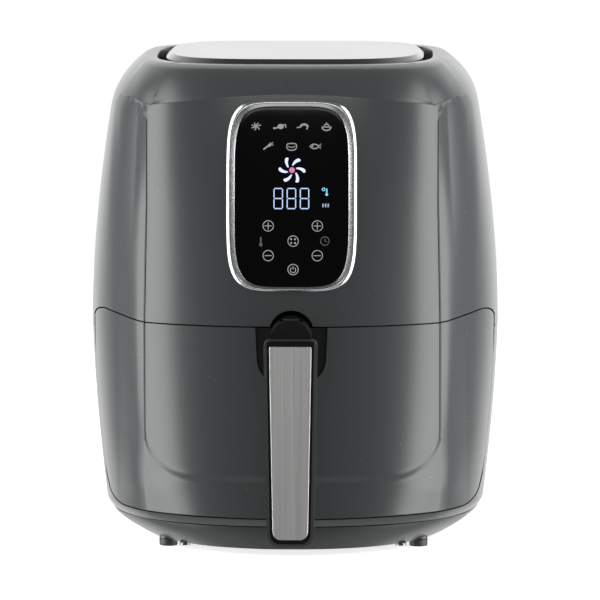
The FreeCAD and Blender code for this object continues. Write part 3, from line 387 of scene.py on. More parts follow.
# ---- materials ----------------------------------------------------------------------------
class Shader:
    """A Principled material with a few node helpers."""

    def __init__(self, name, color, rough, metal=0.0):
        self.material = bpy.data.materials.new(name)
        self.material.use_nodes = True
        self.nodes = self.material.node_tree.nodes
        self.links = self.material.node_tree.links
        self.base = self.nodes["Principled BSDF"]
        self.base.inputs["Base Color"].default_value = (*color, 1)
        self.base.inputs["Roughness"].default_value = rough
        self.base.inputs["Metallic"].default_value = metal
        self.color = color
        self.rough = rough
        self.coords = self.nodes.new("ShaderNodeTexCoord").outputs["Object"]

    def scaled(self, scale):
        """Object coordinates, stretched."""
        move = self.nodes.new("ShaderNodeMapping")
        move.inputs["Scale"].default_value = scale
        self.links.new(self.coords, move.inputs["Vector"])
        return move.outputs["Vector"]

    def noise(self, scale, detail=4.0, stretch=(1, 1, 1)):
        """Noise pattern; stretch draws it out along an axis."""
        made = self.nodes.new("ShaderNodeTexNoise")
        made.inputs["Scale"].default_value = scale
        made.inputs["Detail"].default_value = detail
        self.links.new(self.scaled(stretch), made.inputs["Vector"])
        return made.outputs["Fac"]

    def cells(self, scale):
        """Distance to the nearest of scattered points."""
        made = self.nodes.new("ShaderNodeTexVoronoi")
        made.inputs["Scale"].default_value = scale
        self.links.new(self.coords, made.inputs["Vector"])
        return made.outputs["Distance"]

    def span(self, source, low, high, start, end):
        """Map source from start..end to low..high."""
        made = self.nodes.new("ShaderNodeMapRange")
        made.inputs["From Min"].default_value = start
        made.inputs["From Max"].default_value = end
        made.inputs["To Min"].default_value = low
        made.inputs["To Max"].default_value = high
        self.links.new(source, made.inputs["Value"])
        return made.outputs["Result"]

    def vary_rough(self, source, spread):
        """Let the roughness follow source, by spread each way."""
        level = self.span(source, max(0.02, self.rough - spread), self.rough + spread, 0.1, 0.9)
        self.links.new(level, self.base.inputs["Roughness"])

    def vary_color(self, source, darker, lighter, start=0.1, end=0.9):
        """Let the colour follow source, between a darker and a lighter share of itself."""
        mix = self.nodes.new("ShaderNodeMix")
        mix.data_type = "RGBA"
        mix.inputs["A"].default_value = (*[c * darker for c in self.color], 1)
        mix.inputs["B"].default_value = (*[min(1, c * lighter) for c in self.color], 1)
        self.links.new(self.span(source, 0, 1, start, end), mix.inputs["Factor"])
        self.links.new(mix.outputs["Result"], self.base.inputs["Base Color"])

    def bump(self, source, strength, distance):
        """Fine relief in the shading."""
        made = self.nodes.new("ShaderNodeBump")
        made.inputs["Strength"].default_value = strength
        made.inputs["Distance"].default_value = distance
        self.links.new(source, made.inputs["Height"])
        self.links.new(made.outputs["Normal"], self.base.inputs["Normal"])


def plastic(name, color, rough, grain=2600.0, depth=0.00003, spread=0.04):
    """Moulded plastic: fine spark-eroded grain, slow changes in gloss and shade."""
    s = Shader(name, color, rough)
    s.vary_rough(s.noise(9.0, 3.0), spread)
    s.vary_color(s.noise(5.0, 3.0), 0.94, 1.06)
    s.bump(s.noise(grain, 2.0), 0.25, depth)
    return s.material


def sheet_metal(name, color, rough, scale=(3, 3, 900), depth=0.00002):
    """Rolled sheet: fine lines along the sheet and soft patches of tone."""
    s = Shader(name, color, rough, 1.0)
    s.vary_rough(s.noise(1.0, 4.0, scale), 0.08)
    s.vary_color(s.noise(14.0, 4.0), 0.86, 1.08)
    s.bump(s.noise(1.0, 4.0, scale), 0.2, depth)
    return s.material


def nonstick(name, color):
    """Baked-on coating: dark, with a fine light speckle and a slight orange peel."""
    s = Shader(name, color, 0.42)
    s.vary_color(s.cells(900.0), 2.6, 1.0, 0.05, 0.22)
    s.vary_rough(s.noise(30.0, 3.0), 0.06)
    s.bump(s.noise(700.0, 2.0), 0.3, 0.00005)
    s.base.inputs["Coat Weight"].default_value = 0.2
    s.base.inputs["Coat Roughness"].default_value = 0.3
    return s.material


def glowing(name, color, strength):
    """Lit print behind the glass, a little uneven as print over a lamp is."""
    s = Shader(name, [c * 0.3 for c in color], 0.4)
    s.base.inputs["Emission Color"].default_value = (*color, 1)
    s.base.inputs["Emission Strength"].default_value = strength
    s.vary_color(s.noise(400.0, 2.0), 0.85, 1.15)
    return s.material


def body_plastic():
    """Satin grey plastic of the shells, nearly even, with a very fine grain."""
    s = Shader("body_plastic", (0.044, 0.0485, 0.049), 0.27)
    s.vary_rough(s.noise(240.0, 2.0), 0.006)
    s.vary_color(s.noise(310.0, 2.0), 0.992, 1.008)
    s.bump(s.noise(3200.0, 2.0), 0.18, 0.00002)
    return s.material


def brushed(name, color, rough, stretch, depth=0.00001):
    """Brushed metal, its lines along the long direction of stretch."""
    s = Shader(name, color, rough, 1.0)
    lines = s.noise(1.0, 6.0, stretch)
    s.vary_rough(lines, 0.07)
    s.vary_color(lines, 0.88, 1.1)
    s.bump(lines, 0.25, depth)
    return s.material


def board_material():
    """Lacquered circuit board: green mask, with pale tracks under it."""
    s = Shader("board", (0.02, 0.13, 0.05), 0.3)
    tracks = s.nodes.new("ShaderNodeTexBrick")
    tracks.inputs["Scale"].default_value = 160.0
    tracks.inputs["Mortar Size"].default_value = 0.06
    s.links.new(s.coords, tracks.inputs["Vector"])
    s.vary_color(tracks.outputs["Fac"], 1.0, 1.9, 0.4, 0.6)
    s.bump(tracks.outputs["Fac"], 0.3, 0.00005)
    s.vary_rough(s.noise(60.0), 0.05)
    return s.material


def glass_material():
    """Black back-printed glass: deep gloss with the faintest waviness."""
    s = Shader("panel_glass", (0.0009, 0.0009, 0.0013), 0.10)
    s.base.inputs["Specular IOR Level"].default_value = 0.22
    s.vary_rough(s.noise(20.0, 2.0), 0.02)
    s.vary_color(s.noise(12.0, 2.0), 0.9, 1.15)
    s.bump(s.noise(18.0, 2.0), 0.05, 0.0002)
    return s.material


MAT = {
    "body_plastic": body_plastic(),
    "base_plastic": plastic("base_plastic", (0.040, 0.043, 0.043), 0.34),
    "black_plastic": plastic("black_plastic", (0.0035, 0.0035, 0.004), 0.30),
    "gloss_black": plastic("gloss_black", (0.003, 0.003, 0.0035), 0.20, 1400.0, 0.00001, 0.02),
    "lid_plastic": plastic("lid_plastic", (0.022, 0.025, 0.025), 0.16, 1800.0, 0.000005, 0.02),
    "rubber": plastic("rubber", (0.03, 0.034, 0.033), 0.55, 900.0, 0.00006),
    "silicone": plastic("silicone", (0.09, 0.09, 0.09), 0.6, 700.0, 0.00004),
    "white_plastic": plastic("white_plastic", (0.66, 0.66, 0.62), 0.4),
    "insulation": plastic("insulation", (0.12, 0.03, 0.02), 0.5, 500.0, 0.00005),
    "nonstick": nonstick("nonstick", (0.020, 0.020, 0.021)),
    "galvanised": sheet_metal("galvanised", (0.56, 0.57, 0.58), 0.34),
    "steel": brushed("steel", (0.52, 0.52, 0.53), 0.26, (900, 900, 8)),
    "screw": brushed("screw", (0.20, 0.20, 0.21), 0.34, (500, 500, 500)),
    "element": sheet_metal("element", (0.12, 0.10, 0.09), 0.5, (300, 300, 300), 0.00005),
    "aluminium": brushed("aluminium", (0.68, 0.68, 0.70), 0.3, (400, 8, 8)),
    "lamination": brushed("lamination", (0.16, 0.16, 0.17), 0.5, (2, 2, 1400), 0.0001),
    "copper_winding": brushed("copper_winding", (0.60, 0.22, 0.08), 0.32, (4, 1300, 1300), 0.0002),
    "bezel": brushed("bezel", (0.62, 0.63, 0.64), 0.24, (1400, 1400, 1400), 0.000004),
    "brushed_insert": brushed("brushed_insert", (0.76, 0.752, 0.745), 0.48, (1600, 30, 5)),
    "board": board_material(),
    "panel_glass": glass_material(),
}

CAD_MATERIALS = {sub["node"]: sub["material_slot"] for sub in frame["record"]["subparts"]}
for node, slot in CAD_MATERIALS.items():
    NODES[node].data.materials.clear()
    NODES[node].data.materials.append(MAT[slot])
NODES["top_panel"].data.materials[0] = MAT["lid_plastic"]


# ---- the housing shells -------------------------------------------------------------------
SLIT = 0.3
THROUGH = -300.0
BEZEL_LAP = 2.6
NOTCH_R, NOTCH_Z, NOTCH_LOW = 16.4, 165.5, 150.0
POST_X, POST_LEVELS, POST_R = 60, (58, 125), 5.5
BOSS_X, BOSS_FRONT, BOSS_BACK, BOSS_R = 80, -105, 92, 5
BOSS_LOW, BOSS_FRONT_TOP, BOSS_BACK_TOP = 5.6, 25.0, 27.0
RIB, RIB_LOW = 1.5, 20.4


def shell_rows():
    """Rows round the whole shell: up the outside, over the rim, down the opening, and back
    down the inside."""
    levels = list(np.arange(BASE_Z + 0.2, 28, 1.0)) + list(np.arange(28, 300, 2.4))
    levels += list(np.arange(300, 336, 1.8)) + [337.6, 338.3, 338.6, 338.9, 339.6]
    levels += list(np.arange(341, 355, 1.5)) + [355.6, 356.8]
    rows = [ring(z) for z in levels]
    top = float(half_width(RIM_Z))
    for drop, back_off in ((0.35, 0.2), (0.0, 1.0)):
        rows.append(plan_ring(RIM_Z - drop, top - back_off, top * FRONT - back_off,
                              top * BACK - back_off))
    edge = [(1.2, 0.0), (0.35, -0.35), (0.0, -1.2), (0.0, -19.0), (2.0, -20.0), (2.0, -4.6)]
    for out, drop in edge:
        rows.append(plan_ring(RIM_Z + drop, OPEN_A + out, OPEN_FRONT + out, OPEN_BACK + out))
    inner = [353.0, 348.0, 342.0, 338.6, 334.0] + list(np.arange(326, 30, -6.0))
    rows += [ring(z, WALL) for z in inner + [26.0, BASE_Z + 0.2]]
    return rows


def drawer_block(grow):
    """Block with the drawer front's outline, grown all round."""
    right = [(135.5, 27.5, 14.0), (141.5, 52.0, 90.0), (148.2, 110.0, 160.0),
             (149.0, 175.0, 9.0), (112.0, SEAM_Z, 30.0)]
    left = [(-x, z, r) for x, z, r in reversed(right)]
    outline = rounded([(0.0, 26.3, 0.0)] + right + left, grow, 10)
    return prism("drawer_block", outline, 1, THROUGH, DRAWER_BACK + grow)


def slot_block(grow):
    """Block for the slot that the handle's bracket fills."""
    corners = [(-24.2, 128, 18), (24.2, 128, 18), (26.5, 175, 0), (-26.5, 175, 0)]
    return prism("slot_block", rounded(corners, grow, 12), 1, THROUGH, -140.0)


def above_seam(gap):
    """Solid above the joint between the two housings."""
    far, over, wide = 320, 500.0, 250.0
    profile = [(-far, 154.0), (-60, 154.0), (-40, 157.0), (0, SIDE_SEAM_Z), (far, SIDE_SEAM_Z)]
    outline = [(y, z + gap) for y, z in profile] + [(far, over), (-far, over)]
    return prism("above_seam", outline, 0, -wide, wide)


def panel_outline(half_x, half_z, middle, count=96):
    """The panel's superellipse about a middle height."""
    outline = []
    for i in range(count):
        t = 2 * math.pi * i / count
        c, s = math.cos(t), math.sin(t)
        r = (abs(c / half_x) ** PANEL_SQUARE + abs(s / half_z) ** PANEL_SQUARE) ** (-1 / PANEL_SQUARE)
        outline.append((r * c, middle + r * s))
    return outline


def notch_outline():
    """Half-round notch over the handle's neck, in the edge above the drawer."""
    turns = [math.radians(a) for a in range(0, 181, 6)]
    arc = [(NOTCH_R * math.cos(t), NOTCH_Z + NOTCH_R * math.sin(t)) for t in turns]
    return [(NOTCH_R, NOTCH_LOW)] + arc + [(-NOTCH_R, NOTCH_LOW)]


def block(name, x0, x1, y0, y1, z0, z1):
    """Plain box between two corners."""
    return prism(name, [(x0, z0), (x1, z0), (x1, z1), (x0, z1)], 1, y0, y1)


def rod(name, radius, along, low, high, u, v, steps=24):
    """Round rod that runs along an axis, as in prism()."""
    return prism(name, circle_points(u, v, radius, steps), along, low, high)


def drawer_posts():
    """Posts behind the drawer front that the pan is screwed to, and the finger for the switch."""
    made = []
    for x in (-POST_X, POST_X):
        for z in POST_LEVELS:
            wide = float(face_width(z))
            depth = -wide * FRONT * (1 - (POST_X / wide) ** SQUARE_LOW) ** (1 / SQUARE_LOW)
            made.append(rod("post", POST_R, 1, depth + 1.5, -122.0, x, z))
    made.append(block("finger", 123.4, 126.6, -96.5, -82.4, 138, 142))
    return made


def base_bosses():
    """Bosses in the lower housing for the base's screws, each with a rib to the wall."""
    made = []
    for x in (-BOSS_X, BOSS_X):
        made.append(rod("boss", BOSS_R, 2, BOSS_LOW, BOSS_FRONT_TOP, x, BOSS_FRONT))
        made.append(rod("boss", BOSS_R, 2, BOSS_LOW, BOSS_BACK_TOP, x, BOSS_BACK))
        made.append(block("rib", x - RIB, x + RIB, -124.5, BOSS_FRONT, RIB_LOW, BOSS_FRONT_TOP))
        made.append(block("rib", x - RIB, x + RIB, BOSS_BACK, 119.5, RIB_LOW, BOSS_BACK_TOP))
    return made


def cut_upper(shell):
    """Leave what lies above the seam, with the drawer's, panel's, neck's and grille's openings."""
    cut(shell, [above_seam(SLIT)], "INTERSECT")
    panel = panel_outline(BEZEL_X - BEZEL_LAP, BEZEL_Z - BEZEL_LAP, BEZEL_MID)
    cut(shell, [drawer_block(GAP), prism("bezel_hole", panel, 1, THROUGH, -100.0),
                prism("notch", notch_outline(), 1, -220, -120),
                block("grille_hole", -44.3, 44.3, 120, 160, 175.7, 222.3)])


def cut_lower(shell):
    """Leave what lies below the seam, with the drawer's opening and the lead's hole."""
    cut(shell, [above_seam(-SLIT), drawer_block(GAP), rod("inlet", 8.2, 1, 100, 170, 60, 48, 40)])
    add_parts(shell, base_bosses())


def cut_drawer_front(shell):
    """Leave the drawer's front, with the slot for the handle's bracket."""
    cut(shell, [drawer_block(0.0)], "INTERSECT")
    cut(shell, [slot_block(SLIT)])
    add_parts(shell, drawer_posts())


def build_shells():
    """The two housings and the drawer front, all cut from one shell so that they line up."""
    upper = rows_mesh("upper_shell", shell_rows())
    flip_out(upper)
    lower, front = copy_of(upper, "lower_shell"), copy_of(upper, "drawer_shell")
    cut_upper(upper)
    cut_lower(lower)
    cut_drawer_front(front)
    for piece, body, node in ((upper, "housing", "upper_housing"), (lower, "housing", "lower_housing"),
                              (front, "drawer", "drawer_front")):
        shade(piece)
        finish_piece(piece, body, MAT["body_plastic"], [node])


build_shells()


# ---- control panel ------------------------------------------------------------------------
MARK_OUT = 0.56
BEZEL_WIDE = 6.4
GLASS_FACE = 0.45


def face_y(x, z, out):
    """Depth of the front patch at (x, z), moved out."""
    a = face_width(z) + SHIELD + out
    b = a + face_width(z) * (FRONT - 1)
    n = squareness(z)
    return -b * (1 - (np.abs(x) / a) ** n) ** (1.0 / n)


def panel_point(x, z, out):
    """Point that stands out from the patch at (x, z)."""
    return (x, float(face_y(x, z, out)), z)


def build_bezel():
    """Satin ring: a rounded outer lip, then a flat bevel falling to the glass."""
    profile = [(0.0, -0.4), (0.0, 0.15), (0.4, 0.75), (1.0, 1.3), (1.7, 1.75), (2.4, 2.0), (2.9, 2.05),
               (3.3, 1.95), (3.6, 1.75), (5.9, 0.45), (6.25, 0.15), (6.3, -2.2), (3.2, -2.4)]
    rows = []
    for inset, rise in profile:
        share = inset / BEZEL_WIDE
        middle = BEZEL_MID + (GLASS_MID - BEZEL_MID) * share
        half_z = BEZEL_Z + (GLASS_Z + 0.1 - BEZEL_Z) * share
        outline = panel_outline(BEZEL_X - inset, half_z, middle, 220)
        rows.append(np.array([panel_point(x, z, rise) for x, z in outline]))
    bezel = rows_mesh("bezel_ring", rows)
    flip_out(bezel)
    shade(bezel, 40)
    finish_piece(bezel, "housing", MAT["bezel"], ["panel_bezel"])


def build_glass():
    """Glass plate with a slightly rounded edge, in rings that follow the curved face."""
    rows = []
    edge = [(1.0, -0.9), (1.0, 0.3), (0.992, 0.42), (0.97, GLASS_FACE)]
    inner = [(s, GLASS_FACE) for s in (0.9, 0.8, 0.7, 0.6, 0.5, 0.4, 0.3, 0.2, 0.1, 0.02)]
    for share, rise in edge + inner:
        outline = panel_outline(GLASS_X * share, GLASS_Z * share, GLASS_MID, 160)
        rows.append(np.array([panel_point(x, z, rise) for x, z in outline]))
    glass = rows_mesh("glass_plate", rows, False)
    bm = bmesh.new()
    bm.from_mesh(glass.data)
    bmesh.ops.holes_fill(bm, edges=[e for e in bm.edges if e.is_boundary])
    bmesh.ops.recalc_face_normals(bm, faces=bm.faces)
    bm.to_mesh(glass.data)
    bm.free()
    shade(glass, 40)
    finish_piece(glass, "housing", MAT["panel_glass"], ["panel_glass"])


class Drawing:
    """Flat marks on the glass, collected as one mesh. Places are (x, height) in millimetres."""

    def __init__(self):
        self.points, self.faces = [], []

    def place(self, outline):
        """Put an outline's points on the glass, and return the number of the first."""
        start = len(self.points)
        self.points += [panel_point(x, z, MARK_OUT) for x, z in outline]
        return start

    def add(self, outline):
        """Filled outline."""
        start = self.place(outline)
        self.faces.append(tuple(range(start, start + len(outline))))

    def stroke(self, path, width, closed=False):
        """Line of even width along a path."""
        count = len(path)
        none = Vector((0, 0))
        left, right = [], []
        for i in range(count):
            before = Vector(path[i]) - Vector(path[i - 1]) if i or closed else none
            after = Vector(path[(i + 1) % count]) - Vector(path[i]) if i < count - 1 or closed else none
            heading = (before.normalized() + after.normalized()).normalized()
            side = Vector((-heading.y, heading.x)) * width / 2
            left.append((path[i][0] + side.x, path[i][1] + side.y))
            right.append((path[i][0] - side.x, path[i][1] - side.y))
        start = self.place(left + right)
        for i in range(count if closed else count - 1):
            j = (i + 1) % count
            self.faces.append((start + i, start + j, start + count + j, start + count + i))

    def circle(self, x, z, radius, width, steps=40):
        """Ring drawn with a line of even width."""
        self.stroke(circle_points(x, z, radius, steps), width, True)

    def disc(self, x, z, radius, steps=28, squash=1.0):
        """Filled circle, or an ellipse where squash flattens it."""
        self.add(circle_points(x, z, radius, steps, squash))

    def arc(self, x, z, radius, start, end, width, squash=1.0, steps=16):
        """Line along part of a circle, between two angles in degrees."""
        path = []
        for i in range(steps + 1):
            t = math.radians(start + (end - start) * i / steps)
            path.append((x + radius * math.cos(t), z + radius * squash * math.sin(t)))
        self.stroke(path, width)

    def finish(self, name, material):
        """Make the mesh, with every face turned to the front."""
        made = mesh_object(name, self.points, self.faces)
        bm = bmesh.new()
        bm.from_mesh(made.data)
        for face in bm.faces:
            if face.normal.y > 0:
                face.normal_flip()
        bm.to_mesh(made.data)
        bm.free()
        finish_piece(made, "housing", material)


KEY_R, KEY_LINE, KEY_ARM = 3.8, 0.55, 2.6
KEY_SIDES, KEY_MID = (-17.0, 18.9), 1.2
PLUS_Z, MODE_Z, MINUS_Z, POWER_Z = 243.6, 232.6, 222.0, 211.9
FOODS_Z, MORE_FOODS_Z = 315.6, 301.2
FAN_X, FAN_Z, FAN_HUB, FAN_TIP, PETAL_TIP = 0.3, 284.1, 2.1, 8.4, 1.5
DIGITS_X, DIGIT_TOP, DIGIT_MID, DIGIT_LOW = (-9.7, -0.1, 9.5), 270.8, 263.5, 256.2
DIGIT_SIDE, BAR_WIDE, BAR_TALL, DIGIT_LINE = 3.1, 5.6, 6.3, 0.75


def draw_keys(d):
    """Plus and minus keys, the mode key with a generic four-dot sign, and the power key."""
    for x in KEY_SIDES:
        for z in (PLUS_Z, MINUS_Z):
            d.circle(x, z, KEY_R, KEY_LINE)
            d.stroke([(x - KEY_ARM, z), (x + KEY_ARM, z)], KEY_LINE)
            if z == PLUS_Z:
                d.stroke([(x, z - KEY_ARM), (x, z + KEY_ARM)], KEY_LINE)
    d.circle(KEY_MID, MODE_Z, KEY_R, KEY_LINE)
    for dx in (-1.4, 1.4):
        for dz in (-1.4, 1.4):
            d.disc(KEY_MID + dx, MODE_Z + dz, 0.7)
    d.circle(KEY_MID, POWER_Z, KEY_R, KEY_LINE)
    d.arc(KEY_MID, POWER_Z - 0.3, 2.0, 125, 415, KEY_LINE)
    d.stroke([(KEY_MID, POWER_Z), (KEY_MID, POWER_Z + 2.5)], KEY_LINE)


def draw_faint(d):
    """Faint thermometer and clock signs."""
    d.stroke([(-22.4, 230.1), (-22.4, 235.4)], 1.1)
    d.disc(-22.4, 229.9, 1.25)
    d.circle(24.4, MODE_Z, 3.1, KEY_LINE)
    d.stroke([(24.4, 234.4), (24.4, MODE_Z), (25.8, 232.0)], KEY_LINE)


def draw_greens(d, x, z):
    """Leaves spread from one point."""
    for a in (20, 65, 110, 155, 200, 250, 310):
        t = math.radians(a)
        d.stroke([(x, z), (x + 2.0 * math.cos(t + 0.2), z + 1.5 * math.sin(t + 0.2)),
                  (x + 3.7 * math.cos(t), z + 2.9 * math.sin(t))], 0.75)


def draw_drumstick(d, x, z):
    """Round of meat with a bone on each side."""
    d.disc(x + 0.6, z, 2.3, 24, 0.8)
    d.stroke([(x - 1.0, z - 0.5), (x - 4.0, z - 1.5)], 1.0)
    d.disc(x - 4.2, z - 1.2, 0.75)
    d.stroke([(x + 2.0, z + 1.2), (x + 4.2, z + 1.3), (x + 4.4, z - 0.8)], 0.9)


def draw_prawn(d, x, z):
    """Curved back with a feeler and a tail."""
    d.arc(x + 0.8, z - 0.6, 2.7, 10, 175, 1.5, 0.8)
    d.stroke([(x - 1.8, z - 0.4), (x - 4.6, z - 0.8)], 0.8)
    d.stroke([(x + 3.4, z - 0.4), (x + 2.6, z - 2.0)], 1.0)


def draw_cake(d, x, z):
    """Bowl-shaped case with a domed top."""
    d.arc(x, z - 0.4, 3.2, 180, 360, 0.9, 0.75)
    d.stroke([(x - 3.5, z - 0.3), (x + 3.5, z - 0.3)], 0.8)
    d.arc(x, z, 1.9, 20, 160, 0.8, 0.9)
    d.stroke([(x, z + 1.9), (x, z + 3.0)], 0.7)


def draw_carrot(d, x, z):
    """Root with three leaves."""
    d.stroke([(x - 3.4, z - 2.3), (x - 1.4, z - 0.6), (x + 0.8, z + 0.8)], 1.1)
    d.disc(x + 0.9, z + 0.8, 1.1)
    for dx, dz in ((3.6, 2.9), (3.9, 1.0), (1.6, 3.0)):
        d.stroke([(x + 1.4, z + 1.2), (x + dx, z + dz)], 0.6)


def draw_steak(d, x, z):
    """Uneven rounded slab with a line in it."""
    edge = []
    for t in np.linspace(0, 2 * math.pi, 36)[:-1]:
        edge.append((x + 3.9 * math.cos(t) - 0.4 * math.cos(3 * t),
                     z + 2.5 * math.sin(t) + 0.3 * math.cos(2 * t)))
    d.stroke(edge, 0.75, True)
    d.arc(x, z + 0.6, 2.4, 190, 350, 0.6, 0.5)


def draw_fish(d, x, z):
    """Two curved sides, a tail and an eye."""
    d.arc(x - 0.3, z - 1.6, 3.6, 25, 155, 0.8, 0.9)
    d.arc(x - 0.3, z + 1.7, 3.6, 205, 335, 0.8, 0.9)
    d.stroke([(x + 2.8, z + 0.1), (x + 4.4, z + 1.9), (x + 4.3, z - 1.5), (x + 2.8, z + 0.1)], 0.7)
    d.disc(x - 1.6, z + 0.3, 0.6)


def draw_foods(d):
    """Simple food signs in two rows."""
    draw_greens(d, -25.9, FOODS_Z)
    draw_drumstick(d, -8.7, FOODS_Z)
    draw_prawn(d, 8.3, FOODS_Z)
    draw_cake(d, 25.4, FOODS_Z)
    draw_carrot(d, -17.2, MORE_FOODS_Z)
    draw_steak(d, 0.0, MORE_FOODS_Z)
    draw_fish(d, 16.9, MORE_FOODS_Z)


def draw_digits(d):
    """Three seven-segment figures, each with all its segments lit."""
    for x in DIGITS_X:
        bars = [(x, z, BAR_WIDE, 0) for z in (DIGIT_TOP, DIGIT_MID, DIGIT_LOW)]
        for z in (267.15, 259.85):
            bars += [(x - DIGIT_SIDE, z, 0, BAR_TALL), (x + DIGIT_SIDE, z, 0, BAR_TALL)]
        for cx, cz, w, h in bars:
            d.stroke([(cx - w / 2, cz - h / 2), (cx + w / 2, cz + h / 2)], DIGIT_LINE)


def draw_fan(d):
    """Six petals, each wider towards its round tip."""
    for k in range(6):
        root = math.radians(60 * k + 22)
        left, right, cap = [], [], []
        for i in range(9):
            t = i / 8.0
            r = 3.3 + 5.1 * t
            bend = root - 0.42 * t
            wide = 0.45 + 1.05 * t
            c, s = math.cos(bend), math.sin(bend)
            left.append((FAN_X + r * c - wide * s, FAN_Z + r * s + wide * c))
            right.append((FAN_X + r * c + wide * s, FAN_Z + r * s - wide * c))
        tip = root - 0.46
        for i in range(1, 8):
            turn = tip + math.pi / 2 - math.pi * i / 8
            cap.append((FAN_X + FAN_TIP * math.cos(tip) + PETAL_TIP * math.cos(turn),
                        FAN_Z + FAN_TIP * math.sin(tip) + PETAL_TIP * math.sin(turn)))
        d.add(left + cap + right[::-1])


def draw_degree(d):
    """Small ring and a short thermometer beside the figures."""
    d.circle(23.4, 270.2, 1.0, 0.6, 20)
    d.stroke([(25.7, 266.6), (25.7, 270.7)], 1.0)
    d.disc(25.7, 266.4, 1.0)


def draw_timer_mark(d):
    """Three short strokes that stand for the timer."""
    for k in range(3):
        d.stroke([(23.0 + 1.9 * k, 257.2), (23.0 + 1.9 * k, 259.8)], 1.0)


def build_signs():
    """Every sign on the glass, one piece for each kind."""
    keys, faint, foods, digits, fan, hub, unit, mark = [Drawing() for _ in range(8)]
    draw_keys(keys)
    draw_faint(faint)
    draw_foods(foods)
    draw_digits(digits)
    draw_fan(fan)
    hub.disc(FAN_X, FAN_Z, FAN_HUB)
    draw_degree(unit)
    draw_timer_mark(mark)
    keys.finish("panel_keys", glowing("sign_grey", (0.55, 0.55, 0.57), 0.42))
    faint.finish("panel_faint_signs", glowing("sign_faint", (0.3, 0.3, 0.3), 0.09))
    foods.finish("panel_food_signs", glowing("sign_food", (0.5, 0.5, 0.5), 0.34))
    digits.finish("panel_digits", glowing("sign_digits", (0.50, 0.68, 1.0), 0.9))
    fan.finish("panel_fan_sign", glowing("sign_fan", (0.66, 0.72, 1.0), 1.0))
    hub.finish("panel_fan_hub", glowing("sign_hub", (0.85, 0.22, 0.5), 0.6))
    unit.finish("panel_degree_sign", glowing("sign_cyan", (0.25, 0.8, 1.0), 0.7))
    mark.finish("panel_timer_mark", glowing("sign_mark", (0.45, 0.55, 0.8), 0.5))


build_bezel()
build_glass()
build_signs()


# ---- camera, floor and light --------------------------------------------------------------
LENS, AZIMUTH, ELEVATION, REACH = 448.8, 1.0, 6.1, 5.632
AIM_X, AIM_Z = 0.0034, 0.1719
FLOOR_HALF = 2
ROOM_FRONT, ROOM_BACK, ROOM_TILT = 0.115, 1.4, 0.45
ROOM_BELOW = 0.75
SIDE_X, SIDE_LIGHT_Z, SIDE_TALL = 0.72, 0.42, 1.6
SIDE_LIGHTS = (("side", -0.34, 0.30, 9.5), ("rear_side", -0.03, 0.32, 7.0))


def build_camera():
    """Long lens a little above the middle of the body."""
    data = bpy.data.cameras.new("camera")
    data.sensor_width = 36.0
    data.lens = LENS
    data.clip_end = 50.0
    camera = bpy.data.objects.new("camera", data)
    target = Vector((AIM_X, BODY_Y * 0.001, AIM_Z + BODY_Z * 0.001))
    turn, rise = math.radians(AZIMUTH), math.radians(ELEVATION)
    toward = Vector((math.sin(turn) * math.cos(rise), -math.cos(turn) * math.cos(rise), math.sin(rise)))
    camera.location = target + REACH * toward
    camera.rotation_euler = (target - camera.location).to_track_quat("-Z", "Y").to_euler()
    bpy.context.collection.objects.link(camera)
    bpy.context.scene.camera = camera


def build_floor():
    """White sweep under the object, lit by itself so that it has no horizon."""
    half = FLOOR_HALF
    mesh = bpy.data.meshes.new("floor")
    corners = [(-half, -half, 0), (half, -half, 0), (half, half, 0), (-half, half, 0)]
    mesh.from_pydata(corners, [], [(0, 1, 2, 3)])
    floor = bpy.data.objects.new("floor", mesh)
    s = Shader("floor", (0.84, 0.84, 0.84), 0.6)
    s.base.inputs["Emission Color"].default_value = (1, 1, 1, 1)
    s.base.inputs["Emission Strength"].default_value = 0.75
    s.vary_color(s.noise(3.0), 0.99, 1.01)
    mesh.materials.append(s.material)
    bpy.context.collection.objects.link(floor)
    floor.visible_glossy = False
    floor.visible_diffuse = False
    floor.visible_shadow = False


def area_light(name, place, aim, size, power):
    """White rectangle of light, not seen by the camera itself."""
    data = bpy.data.lights.new(name, "AREA")
    data.shape = "RECTANGLE"
    data.size, data.size_y = size
    data.energy = power
    light = bpy.data.objects.new(name, data)
    light.visible_camera = False
    light.location = place
    light.rotation_euler = (Vector(aim) - Vector(place)).to_track_quat("-Z", "Y").to_euler()
    bpy.context.collection.objects.link(light)


def room_step(nodes, start, end, low, high):
    """Soft step in the room's brightness, from low to high as its input goes from start to end."""
    step = nodes.new("ShaderNodeMapRange")
    step.interpolation_type = "SMOOTHSTEP"
    for key, value in (("From Min", start), ("From Max", end), ("To Min", low), ("To Max", high)):
        step.inputs[key].default_value = value
    return step


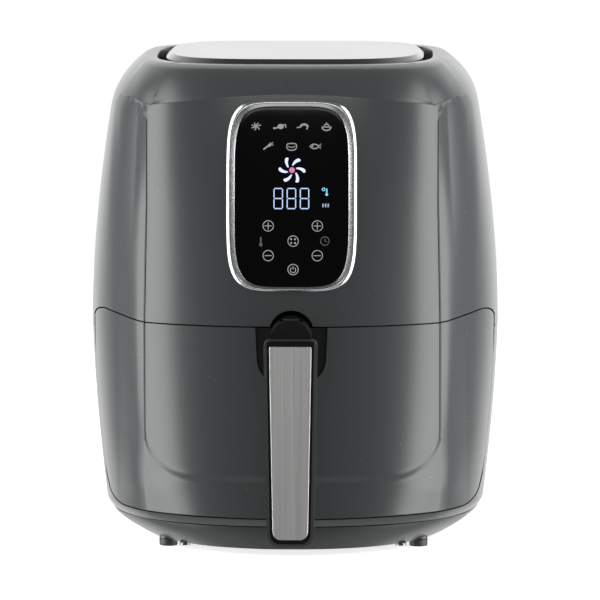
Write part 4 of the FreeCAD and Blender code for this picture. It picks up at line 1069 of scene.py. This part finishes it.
def room_math(nodes, operation):
    """Math node for the room's brightness."""
    made = nodes.new("ShaderNodeMath")
    made.operation = operation
    return made


def build_world():
    """Soft studio room: white to the camera, dim in front of the object, bright behind it and
    underneath."""
    world = bpy.data.worlds.new("studio")
    bpy.context.scene.world = world
    world.use_nodes = True
    nodes, links = world.node_tree.nodes, world.node_tree.links
    background = nodes["Background"]
    split = nodes.new("ShaderNodeSeparateXYZ")
    links.new(nodes.new("ShaderNodeTexCoord").outputs["Generated"], split.inputs[0])
    height = room_math(nodes, "ABSOLUTE")
    links.new(split.outputs["Z"], height.inputs[0])
    behind = room_math(nodes, "MULTIPLY_ADD")
    behind.inputs[1].default_value = ROOM_TILT
    links.new(height.outputs["Value"], behind.inputs[0])
    links.new(split.outputs["Y"], behind.inputs[2])
    back = room_step(nodes, 0.62, 0.98, ROOM_FRONT, ROOM_BACK)
    links.new(behind.outputs["Value"], back.inputs["Value"])
    below = room_step(nodes, -0.5, -0.9, 0.0, ROOM_BELOW)
    links.new(split.outputs["Z"], below.inputs["Value"])
    room = room_math(nodes, "MAXIMUM")
    links.new(back.outputs["Result"], room.inputs[0])
    links.new(below.outputs["Result"], room.inputs[1])
    choose = nodes.new("ShaderNodeMix")
    choose.data_type = "FLOAT"
    links.new(nodes.new("ShaderNodeLightPath").outputs["Is Camera Ray"], choose.inputs["Factor"])
    links.new(room.outputs["Value"], choose.inputs["A"])
    choose.inputs["B"].default_value = 1.0
    links.new(choose.outputs["Result"], background.inputs["Strength"])
    background.inputs["Color"].default_value = (1, 1, 1, 1)


def build_lights():
    """Tall lights at both sides, and one high in front."""
    for side in (-1, 1):
        for name, y, width, power in SIDE_LIGHTS:
            area_light(name, (side * SIDE_X, y, SIDE_LIGHT_Z), (0, y, SIDE_LIGHT_Z),
                       (width, SIDE_TALL), power)
    area_light("front", (0, -2.2, 1.3), (0, 0, 0.17), (1.4, 0.6), 9)


build_camera()
build_floor()
build_world()
build_lights()
bpy.context.scene.view_settings.view_transform = "Standard"
